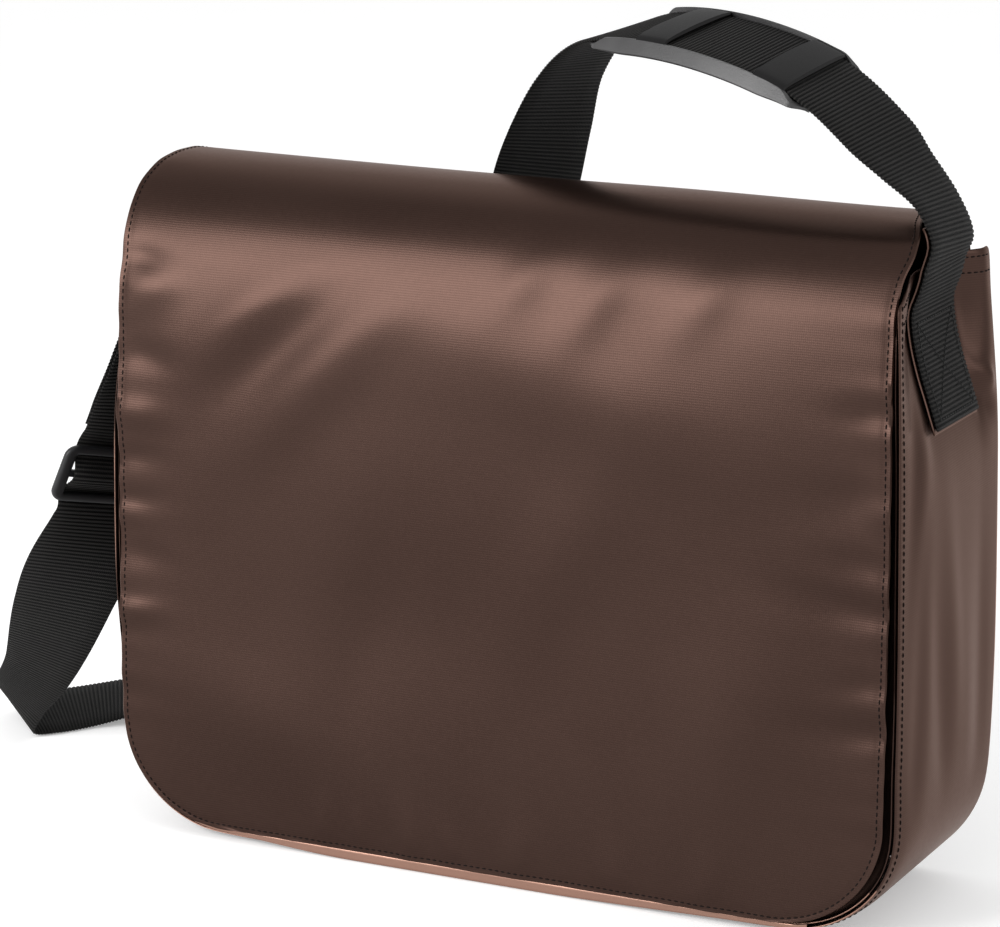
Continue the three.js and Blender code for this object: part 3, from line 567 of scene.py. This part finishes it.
# %% The flap's sheet
def flap_surface(x, run):
    """Points of the flap's middle at places across and distances along, and their edge distance."""
    y, z, left, right = np.moveaxis(flap_profile(run), -1, 0)
    ahead, back = flap_profile(run + 0.5), flap_profile(run - 0.5)
    slope = unit(ahead[..., :2] - back[..., :2])
    edge = flap_edge_distance(x, z, left, right)
    on_front = smooth(-44, -51, y)
    share = np.clip((x + left) / (left + right), 0, 1)
    near_side = smooth(1, 0.9, np.abs(2 * share - 1))
    out = bumps(x, z, FLAP_FOLDS) * on_front * (0.35 + 0.65 * near_side)
    out = out + bumps(x, z, SMALL_FOLDS) * smooth(-30, -48, y) * smooth(-4, 9, z - FLAP_BOTTOM)
    ripple = np.where(x < 0, puckers(run, 1.0), puckers(run, 2.2))
    low = smooth(70, 20, z) * on_front
    ripple = ripple * (1 - low) + puckers(x, 3.1) * low
    out = out + (PUCKER_RISE - 0.5 * low) * ripple * np.exp(-edge / PUCKER_FADE) * (0.3 + 0.7 * on_front)
    out = out - SEAM_DIP * np.exp(-(((edge - 2.4) / 1.0) ** 2))
    out = out + SWELL * np.sin(x / 31 + z / 47) * np.sin(z / 23 - x / 71) * on_front
    sag = smooth(296, 306, z) * (SAG_MIDDLE * np.sin(math.pi * share) + SAG_RIGHT * smooth(40, 180, x))
    place = np.stack([x, y + slope[..., 1] * out, z - slope[..., 0] * out - sag], -1)
    return place, edge


def crowd(share):
    """Draws even shares towards both ends, where the edges curve."""
    return share - 0.035 * np.sin(2 * math.pi * share)


FLAP_ACROSS, FLAP_ALONG = 150, 176
share = crowd(np.linspace(0, 1, FLAP_ACROSS))
run_grid = np.repeat((crowd(np.linspace(0, 1, FLAP_ALONG)) * FLAP_LENGTH)[:, None], FLAP_ACROSS, 1)
run_grid[-1] = FLAP_LENGTH - 0.01
reach = flap_profile(run_grid)
pull = corner_reach(reach[..., 1]) * smooth(-44, -51, reach[..., 0])
x_grid = -(reach[..., 2] - pull) + (reach[..., 2] + reach[..., 3] - 2 * pull) * share[None]
flap_grid, flap_edge = flap_surface(x_grid, run_grid)
# Edge distance for the flap's lighter rim: partly wear, partly painted light on its edges
FLAP_WEAR_AND_LIGHT_IN = 0.72
flap_lay = np.stack([x_grid, run_grid, flap_edge + FLAP_WEAR_AND_LIGHT_IN], -1)
flap_points, flap_faces, flap_lay = shell(flap_grid, flap_lay, CLOTH)
flap = new_piece("cloth_flap", flap_points, flap_faces, cloth, flap_lay, ["flap"])

# %% [markdown]
# ## The body's cloth
# The front wall, the back wall and the strip that makes both ends and the bottom keep the shape
# of their solids. Each solid is copied, its triangles are joined to quads and a subdivision
# surface rounds it; then fine creases are pushed into it.

# %% Soften the solids of the body
def soft_copy(node, levels):
    """The points and faces of a solid whose facets are joined and rounded."""
    mesh = nodes[node].data.copy()
    work = bmesh.new()
    work.from_mesh(mesh)
    bmesh.ops.remove_doubles(work, verts=work.verts, dist=0.01 * MM)
    limits = {"angle_face_threshold": math.radians(60), "angle_shape_threshold": math.radians(70)}
    bmesh.ops.join_triangles(work, faces=work.faces, **limits)
    work.to_mesh(mesh)
    work.free()
    draft = bpy.data.objects.new("draft", mesh)
    bpy.context.scene.collection.objects.link(draft)
    rounding = draft.modifiers.new("rounding", "SUBSURF")
    rounding.levels = levels
    rounding.render_levels = levels
    view = bpy.context.evaluated_depsgraph_get()
    fine = bpy.data.meshes.new_from_object(draft.evaluated_get(view))
    bpy.data.objects.remove(draft)
    points = np.zeros(len(fine.vertices) * 3)
    fine.vertices.foreach_get("co", points)
    faces = [list(p.vertices) for p in fine.polygons]
    bpy.data.meshes.remove(fine)
    return points.reshape(-1, 3) / MM, faces


def body_piece(name, node, lay_of, crease):
    """A cloth piece in the place of a solid, with creases pushed into both its faces."""
    points, faces = soft_copy(node, 2)
    lay = lay_of(points)
    return new_piece(name, points + crease(points), faces, cloth, lay, [node], sharp=70)


print("body helpers ready")

# %% [markdown]
# The grain has to run round the strip in one go, so its cloth coordinates follow the U of the ends
# and the bottom. They are worked out before the creases move the points.

# %% Where the body's cloth lies
CORNER_RADIUS, SIDE_HALF = 54.0, 191.8
LOW_EDGE, STRIP_FRONT, STRIP_LOW_FRONT, WALL_FRONT, WALL_LOW_FRONT = 26.0, 56.4, 51.4, 55.4, 50.6


def strip_lay(points):
    """Along the strip round the U of the ends and bottom, and across its depth."""
    x, y, z = np.abs(points[:, 0]), points[:, 1], points[:, 2]
    flat = SIDE_HALF - CORNER_RADIUS
    turn = np.arctan2(x - flat, np.maximum(CORNER_RADIUS - z, 1e-6))
    along = np.where(z > CORNER_RADIUS, flat + CORNER_RADIUS * math.pi / 2 + z - CORNER_RADIUS,
                     np.where(x < flat, x, flat + CORNER_RADIUS * turn))
    left = 0.4 * (points[:, 0] < 0)
    front_cut = np.where(z < LOW_EDGE, y + STRIP_LOW_FRONT, y + STRIP_FRONT - left)
    # Distance in from the edges, where the cloth turns a lighter tan: wear with painted light
    inset = np.minimum.reduce([front_cut, STRIP_FRONT + 0.4 - y, 288 - z, np.full_like(z, 30.0)])
    return np.stack([y, along, np.maximum(inset, 0)], -1)


def wall_lay(points):
    """Across and up a wall; its cut edge shows along the bottom and the left side, in a lighter tan of wear
    and painted light.
    """
    x, y, z = points.T
    low_cut = np.where(z < LOW_EDGE, y + WALL_LOW_FRONT, 30.0)
    left_cut = np.where((x < -SIDE_HALF + 8) & (z < 190), y + WALL_FRONT, 30.0)
    return np.stack([x, z, np.clip(np.minimum(low_cut, left_cut), 0, 30)], -1)


print("strip half length", round(SIDE_HALF - CORNER_RADIUS + CORNER_RADIUS * math.pi / 2), "mm to the ends")

# %% [markdown]
# Where the strap pulls and the ends fold in, the cloth creases. Each crease is a soft push as on
# the flap. The front edges lie a little further in than the stiff solids have them.

# %% Crease the body
# Middle as y and z, turn in degrees, half length, half width and rise
END_CREASES = [
    (42, 232, 152, 22, 5, 2.6), (41, 222, 152, 24, 6, -1.8), (42, 262, 100, 20, 8, -1.6),
    (-30, 215, 80, 40, 7, 0.9), (-40, 205, 84, 40, 6, -0.8), (4, 120, 98, 60, 9, 1.3),
    (-10, 96, 100, 50, 8, -1.1), (22, 90, 96, 55, 9, 1.0), (38, 110, 92, 60, 8, -0.8),
    (-36, 90, 88, 70, 7, -0.8),
]
TUCK_BACK, TUCK_IN, WALL_SWELL = 4.4, 2.6, 0.5


def tuck(points):
    """The front edges' shift: the left one back behind the flap, the right one in towards it."""
    x, y, z = points.T
    back = TUCK_BACK * smooth(-36, -56, y) * smooth(-150, -185, x) * smooth(40, 90, z)
    inward = TUCK_IN * smooth(-22, -56, y) * smooth(150, 182, x) * smooth(20, 80, z)
    return np.stack([-inward, back, 0 * z], -1)


def end_crease(points):
    """Creases of the ends, pushed along X so that both faces move together, and none under the tabs."""
    x, y, z = points.T
    held = smooth(39, 34, y) * smooth(-24, -19, y) * smooth(208, 216, z)
    out = bumps(y, z, END_CREASES) * smooth(56, 45, np.abs(y)) * (1 - held)
    return np.stack([np.sign(x) * out * smooth(40, 80, z), 0 * y, 0 * z], -1) + tuck(points)


def wall_crease(points):
    """Slight unevenness of the walls."""
    x, y, z = points.T
    wave = np.sin(x / 33 + z / 41) * np.sin(z / 27 - x / 64)
    return np.stack([0 * x, WALL_SWELL * wave, 0 * x], -1) + tuck(points)


gusset = body_piece("cloth_ends", "gusset", strip_lay, end_crease)
front = body_piece("cloth_front", "front_panel", wall_lay, wall_crease)
back = body_piece("cloth_back", "back_panel", wall_lay, wall_crease)
print("body faces:", [len(p.data.polygons) for p in (gusset, front, back)])

# %% [markdown]
# Under each sewn end of the strap lies a tab of the same cloth, a little wider than the webbing, so
# a thin brown line shows on both sides. It follows the strap's route. Along the bottom the cut
# edges of the front wall and of the strip lie one on the other; their pale tan is painted light,
# as of edges lit from the floor below.

# %% Lay the tabs and the seam's cut edges
TAB_HALF, TAB_WALL, TAB_GAP, TAB_WEAR_AND_LIGHT_IN = 25.9, 0.9, 0.15, 0.66
TAB_LONG_RIGHT, TAB_LONG_LEFT = 7.5, 6.5
SEAM_ROWS, SEAM_Y, SEAM_WALL = 5, -51.9, 0.5


def tab(name, first, last, inward, node):
    """A tab under the webbing between two stations."""
    stations, run = even_stations(first, last, 3.0)
    middle, wide, inner = route(stations)
    middle[0] += unit(middle[0] - middle[1]) * 0.9
    right_sides = np.array([12, TAB_HALF - 2, TAB_HALF - 0.7, TAB_HALF])
    sides = np.concatenate([-right_sides[::-1], [0], right_sides])
    under = middle + inner * inward * (WEB / 2 + TAB_GAP + TAB_WALL / 2)
    grid = under[:, None] + wide[:, None] * sides[None, :, None]
    lay = np.zeros_like(grid)
    lay[..., 0], lay[..., 1] = sides[None], run[:, None]
    # The tab's edges take the lighter tan of wear and painted edge light
    lay[..., 2] = np.minimum(TAB_HALF - np.abs(sides)[None], run[:, None]) + TAB_WEAR_AND_LIGHT_IN
    points, faces, lay = shell(grid, lay, TAB_WALL)
    return new_piece(name, points, faces, cloth, lay, [node])


tab_right = tab("cloth_tab_right", 0, TAB_LONG_RIGHT, 1, "strap_backing_right")
tab_left = tab("cloth_tab_left", LAST_STATION, LAST_STATION - TAB_LONG_LEFT, -1, "strap_backing_left")
seam_x = np.linspace(-160, 150, 80)
turned_up = np.clip(np.abs(seam_x) - (FLAP_LEFT - FLAP_CORNER), 0, FLAP_CORNER)
seam_top = FLAP_BOTTOM - 0.4 + FLAP_CORNER - np.sqrt(FLAP_CORNER**2 - turned_up**2)
seam_high = 0.5 + 4.0 * smooth(-160, -70, seam_x) - 2.6 * smooth(20, 150, seam_x)
seam_rows = np.linspace(0, 1, SEAM_ROWS)[:, None]
seam_grid = np.stack([np.repeat(seam_x[None], SEAM_ROWS, 0), np.full((SEAM_ROWS, len(seam_x)), SEAM_Y),
                      seam_top[None] - (1 - seam_rows) * seam_high[None]], -1)
# Zero edge distance all over: the whole strip takes the painted light of an edge lit from the floor
points, faces, lay = shell(seam_grid, seam_grid * 0, SEAM_WALL)
new_piece("cloth_cut_edges", points, faces, cloth, lay)
print("tab faces:", len(tab_right.data.polygons), len(tab_left.data.polygons))

# %% [markdown]
# ## Thread
# Each seam shows a row of separate stitches that dip into the cloth at both ends. A dashed line
# in the finish would have no thickness, so every stitch is a small swollen bar of thread, laid
# along a path that was found on the cloth itself.

# %% A row of stitches
# Place along half a stitch, and share of its full size
STITCH_RINGS = np.array([(-1.0, 0.3), (-0.7, 0.85), (0.0, 1.0), (0.7, 0.85), (1.0, 0.3)])
STITCH_SIDES = 6


def along_path(rows, run, where):
    """Rows of a path read at distances along it."""
    return np.stack([np.interp(where, run, rows[:, i]) for i in range(3)], -1)


def stitch_row(places, outward, pitch, long, wide, high):
    """Points of the stitches along one path, as stitch by ring by side."""
    run = np.concatenate([[0], np.cumsum(np.linalg.norm(np.diff(places, axis=0), axis=1))])
    at = np.arange(pitch / 2, run[-1], pitch)
    middle, out = along_path(places, run, at), unit(along_path(outward, run, at))
    ahead = unit(along_path(places, run, at + 0.4) - along_path(places, run, at - 0.4))
    side = unit(np.cross(ahead, out))
    turn = np.arange(STITCH_SIDES) * 2 * math.pi / STITCH_SIDES
    ring, size = STITCH_RINGS[:, 0], STITCH_RINGS[:, 1]
    lift = 0.02 + 0.2 * (1 - ring**2)
    spine = (middle[:, None] + ahead[:, None] * (ring * long / 2)[None, :, None]
             + out[:, None] * lift[None, :, None])
    broad = side[:, None, None] * (np.cos(turn) * wide / 2)[None, None, :, None]
    tall = out[:, None, None] * (np.sin(turn) * high / 2)[None, None, :, None]
    return spine[:, :, None] + (broad + tall) * size[None, :, None, None]


def sew(name, paths, finish, pitch=3.1, long=2.1, wide=0.66, high=0.5):
    """One piece of thread for several paths of places and outward directions."""
    rows = [stitch_row(places, outward, pitch, long, wide, high) for places, outward in paths]
    blocks = np.concatenate(rows)
    count, rings, sides = blocks.shape[:3]
    number = np.arange(rings * sides).reshape(rings, sides)
    turned = np.roll(number, -1, axis=1)
    one = np.stack([number[:-1], turned[:-1], turned[1:], number[1:]], -1).reshape(-1, 4)
    caps = np.array([number[0, [0, 1, 2, 3]], number[0, [0, 3, 4, 5]],
                     number[-1, [3, 2, 1, 0]], number[-1, [5, 4, 3, 0]]])
    one = np.concatenate([one, caps])
    faces = (one[None] + (np.arange(count) * rings * sides)[:, None, None]).reshape(-1, 4)
    lay = np.zeros((count, rings, sides, 3))
    lay[..., 1] = STITCH_RINGS[:, 0][None, :, None] * long / 2
    lay[..., 0] = np.sin(np.arange(sides) * 2 * math.pi / sides)[None, None] * wide / 2
    new_piece(name, blocks.reshape(-1, 3), faces, finish, lay.reshape(-1, 3), sharp=80)
    print(name, "has", count, "stitches")


print("a stitch has", len(STITCH_RINGS), "rings of", STITCH_SIDES, "points")

# %% [markdown]
# The flap's hem is sewn two millimetres in from its edge, and two rows hold it to the back wall.
# The function that made the sheet also says where each stitch lies, so none floats or drowns.

# %% Sew round the flap
SEAM_IN = 2.0
BACK_ROWS = (5.0, 12.0)


def on_flap(x, run):
    """Places on the flap's outer face and the directions out of it."""
    place = flap_surface(x, run)[0]
    over, down = flap_surface(x + 0.5, run)[0] - place, flap_surface(x, run + 0.5)[0] - place
    out = unit(np.cross(down, over))
    return place + out * CLOTH / 2, out


side_runs = np.linspace(6, FLAP_LENGTH - FLAP_CORNER, 160)
reach = flap_profile(side_runs)
turns = np.linspace(0, math.pi / 2, 30)
corner_out = (FLAP_CORNER - SEAM_IN) * np.cos(turns)
corner_run = FLAP_LENGTH - FLAP_CORNER + (FLAP_CORNER - SEAM_IN) * np.sin(turns)
corner_left, corner_right = -(FLAP_LEFT - FLAP_CORNER), FLAP_RIGHT - FLAP_CORNER
bottom_x = np.linspace(corner_left, corner_right, 90)[1:-1]
seam_x = np.concatenate([-reach[:, 2] + SEAM_IN, corner_left - corner_out, bottom_x,
                         corner_right + corner_out[::-1], reach[::-1, 3] - SEAM_IN])
seam_run = np.concatenate([side_runs, corner_run, np.full_like(bottom_x, FLAP_LENGTH - SEAM_IN),
                           corner_run[::-1], side_runs[::-1]])
flap_seam = on_flap(seam_x, seam_run)
back_x = np.linspace(-174, 172, 120)
back_seams = [on_flap(back_x, np.full_like(back_x, run)) for run in BACK_ROWS]
sew("flap_stitching", [flap_seam, *back_seams], thread)

# %% [markdown]
# On the ends the seams are found by shooting rays at the cloth: a path is drawn in the air
# beside the bag, and each of its points is carried inward until it meets the surface.

# %% Find places on the ends
STRIP_HALF_TURN = CORNER_RADIUS * math.pi / 2
STRIP_FLAT = SIDE_HALF - CORNER_RADIUS


def meet(tree, starts, directions):
    """Where rays meet a piece, in millimetres, and the directions out of it there."""
    places, outward = [], []
    for begin, way in zip(np.asarray(starts) * MM, directions):
        place, normal = tree.ray_cast(Vector(begin), Vector(way), 0.3)[:2]
        if place is not None:
            places.append(np.array(place) / MM)
            outward.append(np.array(normal) * (1 if normal.dot(Vector(way)) < 0 else -1))
    return np.array(places), np.array(outward)


def strip_edge(side):
    """The front edge of the strip by distance along it, measured from its points."""
    points = np.array([v.co for v in gusset.data.vertices]) / MM
    points = points[points[:, 0] * side > 5]
    along = strip_lay(points)[:, 1]
    bins = np.arange(150, along.max() - 3, 6.0)
    near = [points[np.abs(along - b) < 5, 1] for b in bins]
    return bins, np.array([n.min() for n in near])


def beside_strip(side, along):
    """Places in the air beside the strip at distances along it, and the way in."""
    turn = np.clip((along - STRIP_FLAT) / CORNER_RADIUS, 0, math.pi / 2)
    high = np.maximum(along - STRIP_FLAT - STRIP_HALF_TURN, 0)
    out = np.stack([side * np.sin(turn), 0 * turn, -np.cos(turn)], -1)
    middle = np.stack([side * (STRIP_FLAT + 0 * turn), 0 * turn, CORNER_RADIUS + high], -1)
    return middle + out * (CORNER_RADIUS + 40), -out


print("the ends are sewn over", [round(strip_edge(side)[0][-1]) for side in (1, -1)], "mm of strip")

# %% [markdown]
# One row follows the front edge of each end. Two short rows close each hem, beside the strap.

# %% Sew the ends
END_SEAM_IN = 4.0
HEM_SPANS = ((-50, -36), (35, 53))
HEM_BELOW = (3.2, 10.2)
tree = BVHTree.FromObject(gusset, bpy.context.evaluated_depsgraph_get())
end_points = np.array([v.co for v in gusset.data.vertices]) / MM
end_paths = []
for side in (1, -1):
    bins, front_edge = strip_edge(side)
    along = np.linspace(bins[0], bins[-1], 140)
    starts, ways = beside_strip(side, along)
    starts[:, 1] = np.interp(along, bins, front_edge) + END_SEAM_IN
    end_paths.append(meet(tree, starts, ways))
    top = end_points[end_points[:, 0] * side > 100]
    for low, high in HEM_SPANS:
        depth = np.linspace(low, high, 24)
        hem = np.array([top[np.abs(top[:, 1] - y) < 4, 2].max() for y in depth])
        for below in HEM_BELOW:
            starts = np.stack([np.full_like(depth, side * 250.0), depth, hem - below], -1)
            end_paths.append(meet(tree, starts, np.tile([-side, 0, 0], (len(depth), 1))))
sew("ends_stitching", [path for path in end_paths if len(path[0]) > 2], thread)

# %% [markdown]
# The strap's sewn ends carry a box with a cross in it, the usual way to fix webbing that takes
# the weight. Its corners are given in the webbing's own coordinates.

# %% Sew the strap's ends
BOX_NEAR, BOX_FAR, BOX_HALF = 4.0, 46.0, 20.5


def on_strap(first, last, far, side):
    """Places on the outer face of a sewn end, by distance from its cut end and place across."""
    stations, run = even_stations(first, last, 0.5)
    middle, wide, inner = route(np.interp(far, run, stations))
    return middle + wide * np.asarray(side)[:, None] - inner * (WEB / 2), -inner


corners = [(BOX_NEAR, -BOX_HALF), (BOX_FAR, -BOX_HALF), (BOX_FAR, BOX_HALF), (BOX_NEAR, BOX_HALF)]
lines = [(0, 1), (1, 2), (2, 3), (3, 0), (0, 2), (1, 3)]
box_paths = []
for first, last in ((0, 6), (LAST_STATION, LAST_STATION - 6)):
    for a, b in lines:
        share = np.linspace(0, 1, 40)
        far = corners[a][0] + (corners[b][0] - corners[a][0]) * share
        side = corners[a][1] + (corners[b][1] - corners[a][1]) * share
        box_paths.append(on_strap(first, last, far, side))
sew("strap_stitching", box_paths, black_thread, pitch=2.8, long=2.0, wide=0.5, high=0.4)

# %% [markdown]
# ## The shoulder pad
# A moulded tray under the webbing with raised walls, thin at both tips, and two bands over the
# webbing. A loft along the strap's route gives the tray; the bands are small shells across it.

# %% Mould the pad
PAD_FIRST, PAD_LAST = 10.75, 13.5
# First and last station of each band
PAD_BANDS = [(11.1, 11.42), (12.33, 12.63)]
PAD_INSIDE, PAD_WALL, PAD_PLATE, PAD_BAND, PAD_TIP, PAD_SLOPE = 25.5, 4.0, 4.4, 1.8, 6.0, 3.3
PAD_CLEAR = WEB / 2 + 0.3


def pad_tray():
    """Sections of the tray from tip to tip, across the strap and inward."""
    stations, run = even_stations(PAD_FIRST, PAD_LAST, 1.6)
    middle, wide, inner = route(stations)
    share = np.minimum(run, run[-1] - run) / run[-1]
    half = PAD_INSIDE + PAD_WALL - PAD_TIP * (1 - smooth(0, 0.07, share))
    low = PAD_CLEAR + PAD_PLATE * (0.22 + 0.78 * smooth(0, 0.22, share))
    full = smooth(0.055, 0.13, share)
    near_lip = PAD_CLEAR - 0.2 - (2 * PAD_CLEAR + 0.1) * full
    far_lip = PAD_CLEAR - 0.2 - (2 * PAD_CLEAR + 1.4) * full
    inside = np.minimum(PAD_INSIDE, half - PAD_SLOPE - 0.6)
    loop = []
    for hand, lip in ((-1, near_lip), (1, far_lip)):
        soft = np.clip((low - lip) / 8.0, 0.1, 1)
        slope = PAD_SLOPE * soft
        bed = PAD_CLEAR + 0 * low
        side = [(half * 0.5, low + 0.3), (half - 1.6 * soft, low), (half - 0.4 * soft, low - 0.5 * soft),
                (half, low - 1.4 * soft), (half - slope, lip + 0.6 * soft),
                (half - slope - 0.4 * soft, lip), (inside + 0.1 * soft, lip), (inside, lip + 0.5 * soft),
                (inside - 0.2, bed), (half * 0.4, bed)]
        loop += [(hand * across, depth) for across, depth in (side if hand < 0 else side[::-1])]
    sections = [middle + wide * across[:, None] + inner * depth[:, None] for across, depth in loop]
    return np.stack(sections, 1)


tray = pad_tray()
pad = new_piece("pad_tray", tray.reshape(-1, 3), loft(tray), pad_rubber_painted_sheen, None,
                ["shoulder_pad"], sharp=40)
for name, (first, last) in zip(("pad_band_right", "pad_band_left"), PAD_BANDS):
    stations = np.linspace(first, last, 14)
    middle, wide, inner = route(stations)
    reach = PAD_INSIDE + 0.4
    sides = np.linspace(-reach, reach, 33)
    crown = np.maximum(np.cos(sides / reach * math.pi / 2), 0) ** 0.35
    depth = -(PAD_CLEAR - 0.3) - (PAD_BAND + 0.7) * crown + 0.5 * crown**2
    grid = middle[:, None] + wide[:, None] * sides[None, :, None] + inner[:, None] * depth[None, :, None]
    points, faces, lay = shell(grid, grid * 0, PAD_BAND - 0.4 + crown**2)
    new_piece(name, points, faces, band_rubber_painted_shade, lay, sharp=40)
print("pad faces:", len(pad.data.polygons))

# %% [markdown]
# ## The slide
# A three-bar slide: a rounded frame and a bar across its middle, over which the webbing passes.
# Both are lofts of one rounded section, the frame round a closed path and the bar along a line.

# %% Mould the slide
SLIDE_WIDE, SLIDE_HIGH, SLIDE_THICK, SLIDE_TURN = 63.0, 30.0, 3.2, 3.6
SIDE_BAR, CROSS_BAR, MIDDLE_BAR, MIDDLE_THICK = 6.0, 4.3, 3.6, 2.8


def bar_section(wide, thick, count=14):
    """A rounded section about the origin."""
    turn = np.arange(count) * 2 * math.pi / count
    return np.stack([np.sign(np.cos(turn)) * np.abs(np.cos(turn)) ** 0.6 * wide / 2,
                     np.sign(np.sin(turn)) * np.abs(np.sin(turn)) ** 0.6 * thick / 2], -1)


def slide_place(points):
    """From the slide's own across, up and depth to the bag's frame."""
    axes = np.stack([SLIDE_ACROSS, SLIDE_UP, SLIDE_FACING])
    return SLIDE_MIDDLE + points @ axes


half_wide, half_high = (SLIDE_WIDE - SIDE_BAR) / 2, (SLIDE_HIGH - CROSS_BAR) / 2
sections = []
for quarter, sign in enumerate(((1, 1), (-1, 1), (-1, -1), (1, -1))):
    for turn in np.linspace(0, math.pi / 2, 7) + quarter * math.pi / 2:
        out = np.array([math.cos(turn), math.sin(turn)])
        centre = np.array(sign) * (np.array([half_wide, half_high]) - SLIDE_TURN) + out * SLIDE_TURN
        ring = bar_section(SIDE_BAR + (CROSS_BAR - SIDE_BAR) * out[1] ** 2, SLIDE_THICK)
        sections.append(np.column_stack([centre + ring[:, :1] * out, ring[:, 1]]))
ring_points = np.array(sections + sections[:1])
frame_faces = [face for face in loft(ring_points) if len(face) == 4]
count = len(sections) * ring_points.shape[1]
frame_faces = [[i % count for i in face] for face in frame_faces]
slide = new_piece("slide_frame", slide_place(ring_points[:-1].reshape(-1, 3)), frame_faces, slide_plastic,
                  None, ["slide_adjuster"], sharp=60)
bar = bar_section(MIDDLE_BAR, MIDDLE_THICK)
# Place along the middle bar, and share of its full size
bar_steps = [(-half_wide, 0.9), (-26.5, 0.95), (-24, 1), (0, 1), (24, 1), (26.5, 0.95), (half_wide, 0.9)]
bar_rows = np.array([np.column_stack([np.full(len(bar), x), bar * size]) for x, size in bar_steps])
slide_bar = new_piece("slide_bar", slide_place(bar_rows.reshape(-1, 3)), loft(bar_rows), slide_plastic,
                      None, sharp=60)
print("slide faces:", len(slide.data.polygons) + len(slide_bar.data.polygons))

# %% [markdown]
# ## Floor and light
# A pale floor with no edge in sight, one large soft light at the front left that shines in the
# roll of the flap, and a wide fill from the right so that the end is not lost in shade. The rest
# of the room is an even pale grey, because glossy cloth shows whatever stands round it. The floor
# glows a little, so that it stays white where the bag would shade it.

# %% Build the set
FLOOR_REACH = 12.0
paper, shader, start, _ = start_finish("pale_floor", Roughness=0.9, Emission_Strength=0.27)
feed(shader, Base_Color=grain(start, 3.0).blend((0.86, 0.86, 0.86, 1), (0.88, 0.88, 0.88, 1)))
shader.inputs["Emission Color"].default_value = (1, 1, 1, 1)
floor_mesh = bpy.data.meshes.new("floor")
corners = [(x, y, -0.0003) for x, y in ((-1, -1), (1, -1), (1, 1), (-1, 1))]
floor_mesh.from_pydata([(x * FLOOR_REACH, y * FLOOR_REACH, z) for x, y, z in corners], [], [(0, 1, 2, 3)])
floor_mesh.materials.append(paper)
floor = bpy.data.objects.new("floor", floor_mesh)
bpy.context.scene.collection.objects.link(floor)


def soft_light(name, place, target, size, power):
    """A rectangular soft light that faces a point."""
    data = bpy.data.lights.new(name, "AREA")
    data.shape = "RECTANGLE"
    data.size, data.size_y = size
    data.energy = power
    lamp = bpy.data.objects.new(name, data)
    lamp.location = place
    lamp.rotation_euler = (Vector(target) - Vector(place)).to_track_quat("-Z", "Y").to_euler()
    bpy.context.scene.collection.objects.link(lamp)
    return lamp


soft_light("key", (-0.91, -1.60, 0.90), (0, -0.05, 0.28), (0.95, 1.2), 36)
soft_light("fill", (1.7, -0.2, 0.75), (0.15, 0, 0.2), (1.0, 0.9), 7)
world = bpy.data.worlds.new("studio")
world.use_nodes = True
world.node_tree.nodes["Background"].inputs["Color"].default_value = (1, 1, 1, 1)
world.node_tree.nodes["Background"].inputs["Strength"].default_value = 0.8
bpy.context.scene.world = world
bpy.context.scene.view_settings.view_transform = "Standard"

# %% [markdown]
# ## The end
# The dressed bag has to keep to the box of its solids.
